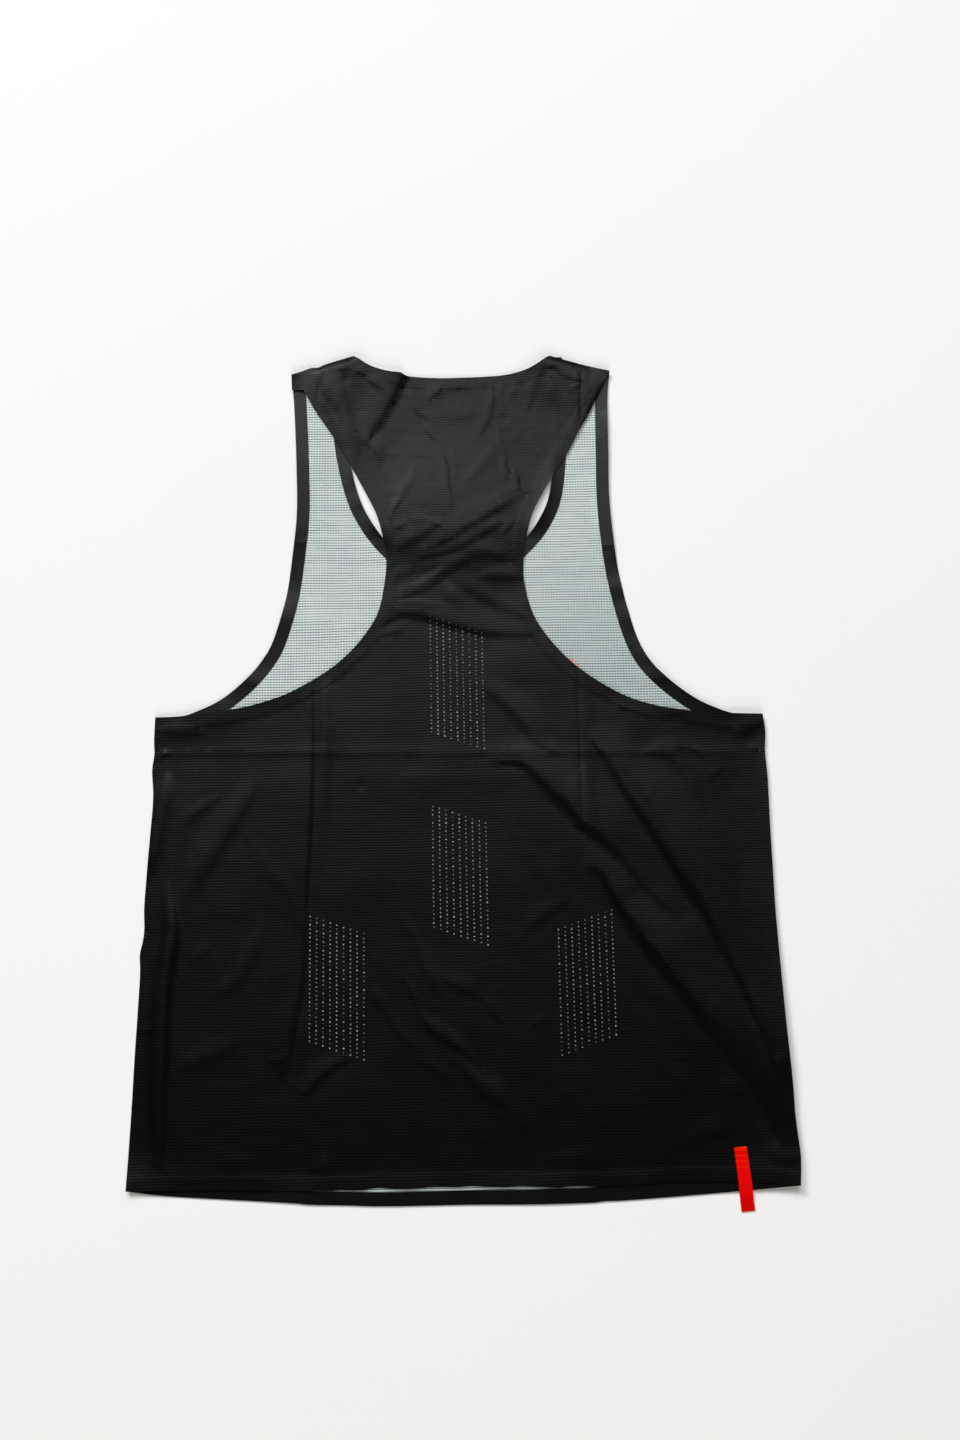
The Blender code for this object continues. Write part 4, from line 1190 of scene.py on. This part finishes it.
class Finish:
    """A Principled material, with short ways to wire its nodes."""

    def __init__(self, name, **settings):
        self.material = bpy.data.materials.new(name)
        self.material.use_nodes = True
        self.tree = self.material.node_tree
        self.surface = self.tree.nodes["Principled BSDF"]
        for socket, value in settings.items():
            self.surface.inputs[socket.replace("_", " ")].default_value = value
        self.place = self.add("ShaderNodeTexCoord").outputs["Object"]
        parts = self.add("ShaderNodeSeparateXYZ", Vector=self.place)
        self.x, self.y = parts.outputs["X"], parts.outputs["Y"]

    def add(self, kind, **inputs):
        node = self.tree.nodes.new(kind)
        for name, value in inputs.items():
            self.feed(node.inputs[name], value)
        return node

    def feed(self, socket, value):
        if isinstance(value, bpy.types.NodeSocket):
            self.tree.links.new(value, socket)
        else:
            socket.default_value = value

    def math(self, operation, *values):
        node = self.add("ShaderNodeMath")
        node.operation = operation
        for socket, value in zip(node.inputs, values):
            self.feed(socket, value)
        return node.outputs[0]

    def plus(self, first, second):
        return self.math("ADD", first, second)

    def minus(self, first, second):
        return self.math("SUBTRACT", first, second)

    def times(self, first, *others):
        for other in others:
            first = self.math("MULTIPLY", first, other)
        return first

    def clamped(self, result):
        """The same value, kept between 0 and 1 by its node."""
        result.node.use_clamp = True
        return result

    def noise(self, scale, detail=2.0, stretch=(1.0, 1.0, 1.0)):
        mapped = self.add("ShaderNodeMapping", Vector=self.place, Scale=stretch)
        node = self.add("ShaderNodeTexNoise", Vector=mapped.outputs["Vector"], Scale=scale, Detail=detail)
        return node.outputs["Fac"]

    def mix(self, share, first, second):
        node = self.tree.nodes.new("ShaderNodeMix")
        node.data_type = "RGBA"
        for name, value in (("Factor", share), ("A", first), ("B", second)):
            self.feed(node.inputs[name], value)
        return node.outputs["Result"]

    def window(self, place, pitch, half_width, softness):
        """1 in a band at the middle of each pitch, 0 between the bands."""
        share = self.math("FRACT", self.math("DIVIDE", place, pitch))
        away = self.math("ABSOLUTE", self.minus(share, 0.5))
        inward = self.minus(half_width + softness, away)
        return self.clamped(self.math("DIVIDE", inward, 2.0 * softness))

    def between(self, place, low, high, softness):
        """1 between two places, 0 outside."""
        rise = self.clamped(self.math("DIVIDE", self.minus(place, low), softness))
        fall = self.clamped(self.math("DIVIDE", self.minus(high, place), softness))
        return self.times(rise, fall)

    def bump(self, height, distance):
        node = self.add("ShaderNodeBump", Height=height, Distance=distance)
        self.feed(self.surface.inputs["Normal"], node.outputs["Normal"])

    def paint(self, colour):
        self.feed(self.surface.inputs["Base Color"], colour)


def rib_place(finish):
    """The place across the ribs, which wander a little."""
    return finish.plus(finish.y, finish.times(finish.noise(RIB_WANDER_SCALE, detail=1.0), RIB_WANDER))


def black_knit(name, printed=False):
    """The outside of the cloth: fine ribs across, uneven in strength, on a dense black ground; the raised
    ribs carry the yarn's own dark grey and a painted highlight.
    """
    finish = Finish(name, Roughness=0.36, Specular_IOR_Level=0.15)
    ribs = finish.window(rib_place(finish), RIB_PITCH, *RIB)
    patches = finish.noise(55.0, stretch=(1.0, 2.5, 1.0))
    rows = finish.noise(300.0, detail=0.0, stretch=(0.02, 1.0, 1.0))
    yarn = finish.noise(900.0, stretch=(0.35, 1.0, 1.0))
    grain = finish.noise(1000.0, detail=1.0)
    strength = finish.plus(finish.times(patches, 0.9), finish.times(rows, 0.2))
    raised = finish.times(ribs, strength)
    rough = finish.plus(finish.times(yarn, 0.35), finish.times(grain, 0.45))
    finish.bump(finish.plus(raised, rough), distance=0.00007)
    # The raised ribs are painted paler than the black between them: partly the yarn's own tone, partly
    # painted highlight where the ribs catch the light
    rib_highlight = finish.times(raised, finish.plus(finish.times(grain, 1.4), 0.3))
    colour = finish.mix(rib_highlight, BLACK, BLACK_RIB_HIGHLIGHT)
    if printed:
        colour = finish.mix(print_mask(finish), colour, ORANGE)
    finish.paint(colour)
    return finish.material


def print_mask(finish):
    """A plain chequered band across the chest of the front."""
    low, high = to_frame(np.array([BAND_LOW, BAND_HIGH]), np.zeros(2))
    rows = finish.window(finish.minus(finish.y, low[1]), 2.0 * CHECK, *CHECK_SHAPE)
    columns = finish.window(finish.minus(finish.x, low[0]), 2.0 * CHECK, *CHECK_SHAPE)
    checks = finish.math("ABSOLUTE", finish.minus(rows, columns))
    across = finish.between(finish.x, low[0], high[0], BAND_EDGE)
    up = finish.between(finish.y, low[1], high[1], BAND_EDGE)
    return finish.times(across, up, checks)


def pale_inside(name, printed=False):
    """The inside of the cloth: a pale open mesh with rows of short dark dashes between its ribs, and
    painted shade over its lower right.
    """
    finish = Finish(name, Roughness=0.75, Specular_IOR_Level=0.25)
    rows = finish.window(rib_place(finish), RIB_PITCH, *DASH_ROW)
    dashes = finish.window(finish.x, DASH_PITCH, *DASH)
    fleck = finish.noise(500.0, detail=1.0, stretch=(0.6, 1.0, 1.0))
    row_strength = finish.noise(420.0, detail=0.0, stretch=(0.02, 1.0, 1.0))
    patch = finish.noise(40.0, stretch=(1.0, 2.0, 1.0))
    strength = finish.times(finish.plus(patch, 0.35), finish.plus(row_strength, 0.45))
    joined = finish.times(finish.plus(dashes, finish.times(fleck, 0.55)), rows)
    dark = finish.clamped(finish.times(joined, strength))
    # Painted shade: the pale ground is painted darker from the middle to the right, up to a height
    lower = finish.between(finish.y, -1.0, ORIGIN.y + SHADE_FROM * MM, SHADE_OVER * MM)
    right = finish.between(finish.x, 0.0, 1.0, SHADE_ACROSS)
    ground = finish.mix(finish.noise(30.0), PALE, PALE_SHADED)
    ground = finish.mix(finish.times(right, lower), ground, PALE_PAINTED_SHADE)
    hollow = HOLLOW
    if printed:
        mask = print_mask(finish)
        ground = finish.mix(finish.times(mask, PRINT_THROUGH), ground, ORANGE)
        hollow = finish.mix(mask, hollow, ORANGE)
    finish.paint(finish.mix(dark, ground, hollow))
    finish.bump(finish.minus(fleck, finish.times(joined, 2.0)), distance=0.00010)
    return finish.material


def bonded_tape(name):
    """Smooth black tape with a faint satin, through which the ribs of the knit press."""
    finish = Finish(name, Roughness=0.34, Specular_IOR_Level=0.17)
    blotch = finish.noise(160.0, detail=3.0)
    grain = finish.noise(1400.0)
    ribs = finish.window(rib_place(finish), RIB_PITCH, *RIB)
    pressed = finish.times(ribs, finish.noise(70.0, stretch=(0.6, 2.0, 1.0)))
    finish.paint(finish.mix(blotch, TAPE_BLACK, TAPE_LIGHTER))
    height = finish.plus(blotch, finish.times(grain, 0.3))
    finish.bump(finish.plus(height, finish.times(pressed, 0.9)), distance=0.00006)
    return finish.material


def red_weave(name):
    """A dense red ribbon: fine cross ribs, deeper red at its end, and painted orange highlights along its
    top edge and on the crinkled part below it.
    """
    finish = Finish(name, Roughness=0.55, Specular_IOR_Level=0.02)
    down = finish.minus(ORIGIN.y + TAB_TOP[1] * MM, finish.y)
    weft = finish.window(finish.y, WEFT_PITCH, *WEFT)
    yarn = finish.noise(1200.0, stretch=(1.0, 0.4, 1.0))
    colour = finish.mix(finish.between(down, *DEEP_END), RED, RED_DEEP)
    wavy = finish.plus(down, finish.times(yarn, 0.0006))
    # Painted highlights: the crinkles and the top edge are painted orange, as where they catch the light
    crinkle_highlight = finish.window(wavy, CRINKLE_PITCH * MM, *CRINKLE_HIGHLIGHT_SHAPE)
    crinkle_highlight = finish.times(crinkle_highlight, finish.between(down, *CRINKLE_HIGHLIGHTS), 0.8)
    painted_highlight = finish.math("MAXIMUM", crinkle_highlight, finish.between(down, *EDGE_HIGHLIGHT))
    uneven = finish.times(finish.noise(170.0, detail=1.0), 1.8)
    painted_highlight = finish.times(painted_highlight, uneven, finish.plus(yarn, 0.35))
    finish.paint(finish.mix(painted_highlight, colour, RED_HIGHLIGHT))
    finish.bump(finish.plus(weft, yarn), distance=0.00006)
    return finish.material


# ---------------------------------------------------------------- floor, light and camera

FLOOR_HALF = 9.0
FLOOR_LEVEL = -0.0001
FLOOR_CORNERS = ((-1, -1), (1, -1), (1, 1), (-1, 1))


def add_floor():
    """A wide pale floor, a hair below the cloth."""
    corners = [(x * FLOOR_HALF, y * FLOOR_HALF, FLOOR_LEVEL) for x, y in FLOOR_CORNERS]
    finish = Finish("paper_floor", Roughness=0.8, Specular_IOR_Level=0.2)
    finish.paint(finish.mix(finish.noise(1.5), FLOOR_SHADED, FLOOR_PALE))
    floor = add_mesh("floor", np.array(corners), [(0, 1, 2, 3)], [finish.material])


# Large soft lamps: compass angle from straight up the picture towards its left, height angle, distance,
# size, power and colour
LAMPS = (
    ("key", 35.0, 38.0, 7.5, 2.5, 311.0, (0.98, 1.0, 1.0)),
    ("top", 4.0, 51.0, 7.5, 5.0, 335.0, (0.98, 1.0, 1.0)),
    ("near", 180.0, 25.0, 7.0, 3.5, 263.0, (1.0, 0.985, 0.96)),
)
WORLD_COLOUR = (1.0, 0.88, 0.68, 1.0)
WORLD_STRENGTH = 0.05


def add_lamps():
    """The lamps, each turned towards the middle of the floor, and a faint warm room."""
    for name, turn, rise, distance, size, power, colour in LAMPS:
        lamp = bpy.data.lights.new(name, "AREA")
        lamp.size = size
        lamp.energy = power
        lamp.color = colour
        turn = math.radians(turn)
        rise = math.radians(rise)
        level = math.cos(rise)
        holder = bpy.data.objects.new(name, lamp)
        holder.location = (-math.sin(turn) * level, math.cos(turn) * level, math.sin(rise))
        holder.location *= distance
        holder.rotation_euler = (-holder.location).to_track_quat("-Z", "Y").to_euler()
        bpy.context.scene.collection.objects.link(holder)
    world = bpy.data.worlds.new("room")
    world.use_nodes = True
    background = world.node_tree.nodes["Background"]
    background.inputs["Color"].default_value = WORLD_COLOUR
    background.inputs["Strength"].default_value = WORLD_STRENGTH
    bpy.context.scene.world = world
    bpy.context.scene.view_settings.view_transform = "Standard"


CAMERA_PLACE = (0.0145, -0.2707, 1.2597)
CAMERA_TURN = (13.5, 0.0, -1.054)
CAMERA_LENS = 40.0


def add_camera():
    """Straight above the hem, tilted towards the shoulders."""
    camera = bpy.data.cameras.new("camera")
    camera.lens = CAMERA_LENS
    camera.sensor_width = 36.0
    camera.sensor_fit = "AUTO"
    holder = bpy.data.objects.new("camera", camera)
    holder.location = CAMERA_PLACE
    holder.rotation_euler = [math.radians(angle) for angle in CAMERA_TURN]
    bpy.context.scene.collection.objects.link(holder)
    bpy.context.scene.camera = holder


# ---------------------------------------------------------------- the garment

# The back panel's packed box reaches this far left of the centre line, and up to the left neck point
BOX_LEFT = 255.0


def origin_in_frame():
    """Where the garment's own origin is in the frame, from the back panel's packed box."""
    low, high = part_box("back_panel")
    return Vector((low.x + BOX_LEFT * MM, high.y - NECK_LEFT[1] * MM, 0.0))


def attach(piece, node):
    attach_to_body(piece, "root")
    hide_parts(node)


def build():
    add_camera()
    add_lamps()
    add_floor()
    outside = black_knit("black_knit")
    outside_printed = black_knit("black_knit_printed", printed=True)
    pale = pale_inside("pale_inside")
    pale_printed = pale_inside("pale_inside_printed", printed=True)
    tape = bonded_tape("bonded_tape")
    red = red_weave("red_ribbon")

    front = add_front([pale_printed, outside_printed, tape])
    attach(front, "front_panel")
    back = add_back([outside, pale, outside])
    attach(back, "back_panel")
    for name, node, edge, first_seam, last_seam, widening in TAPES:
        piece = add_tape(name, edge, (first_seam, last_seam), widening, tape)
        attach(piece, node)
        length = np.linalg.norm(np.diff(front_edges(CURVE_STEP)[edge], axis=0), axis=1).sum() * MM
    tab = add_tab(red)
    attach(tab, "hem_tab")


ORIGIN = origin_in_frame()
build()
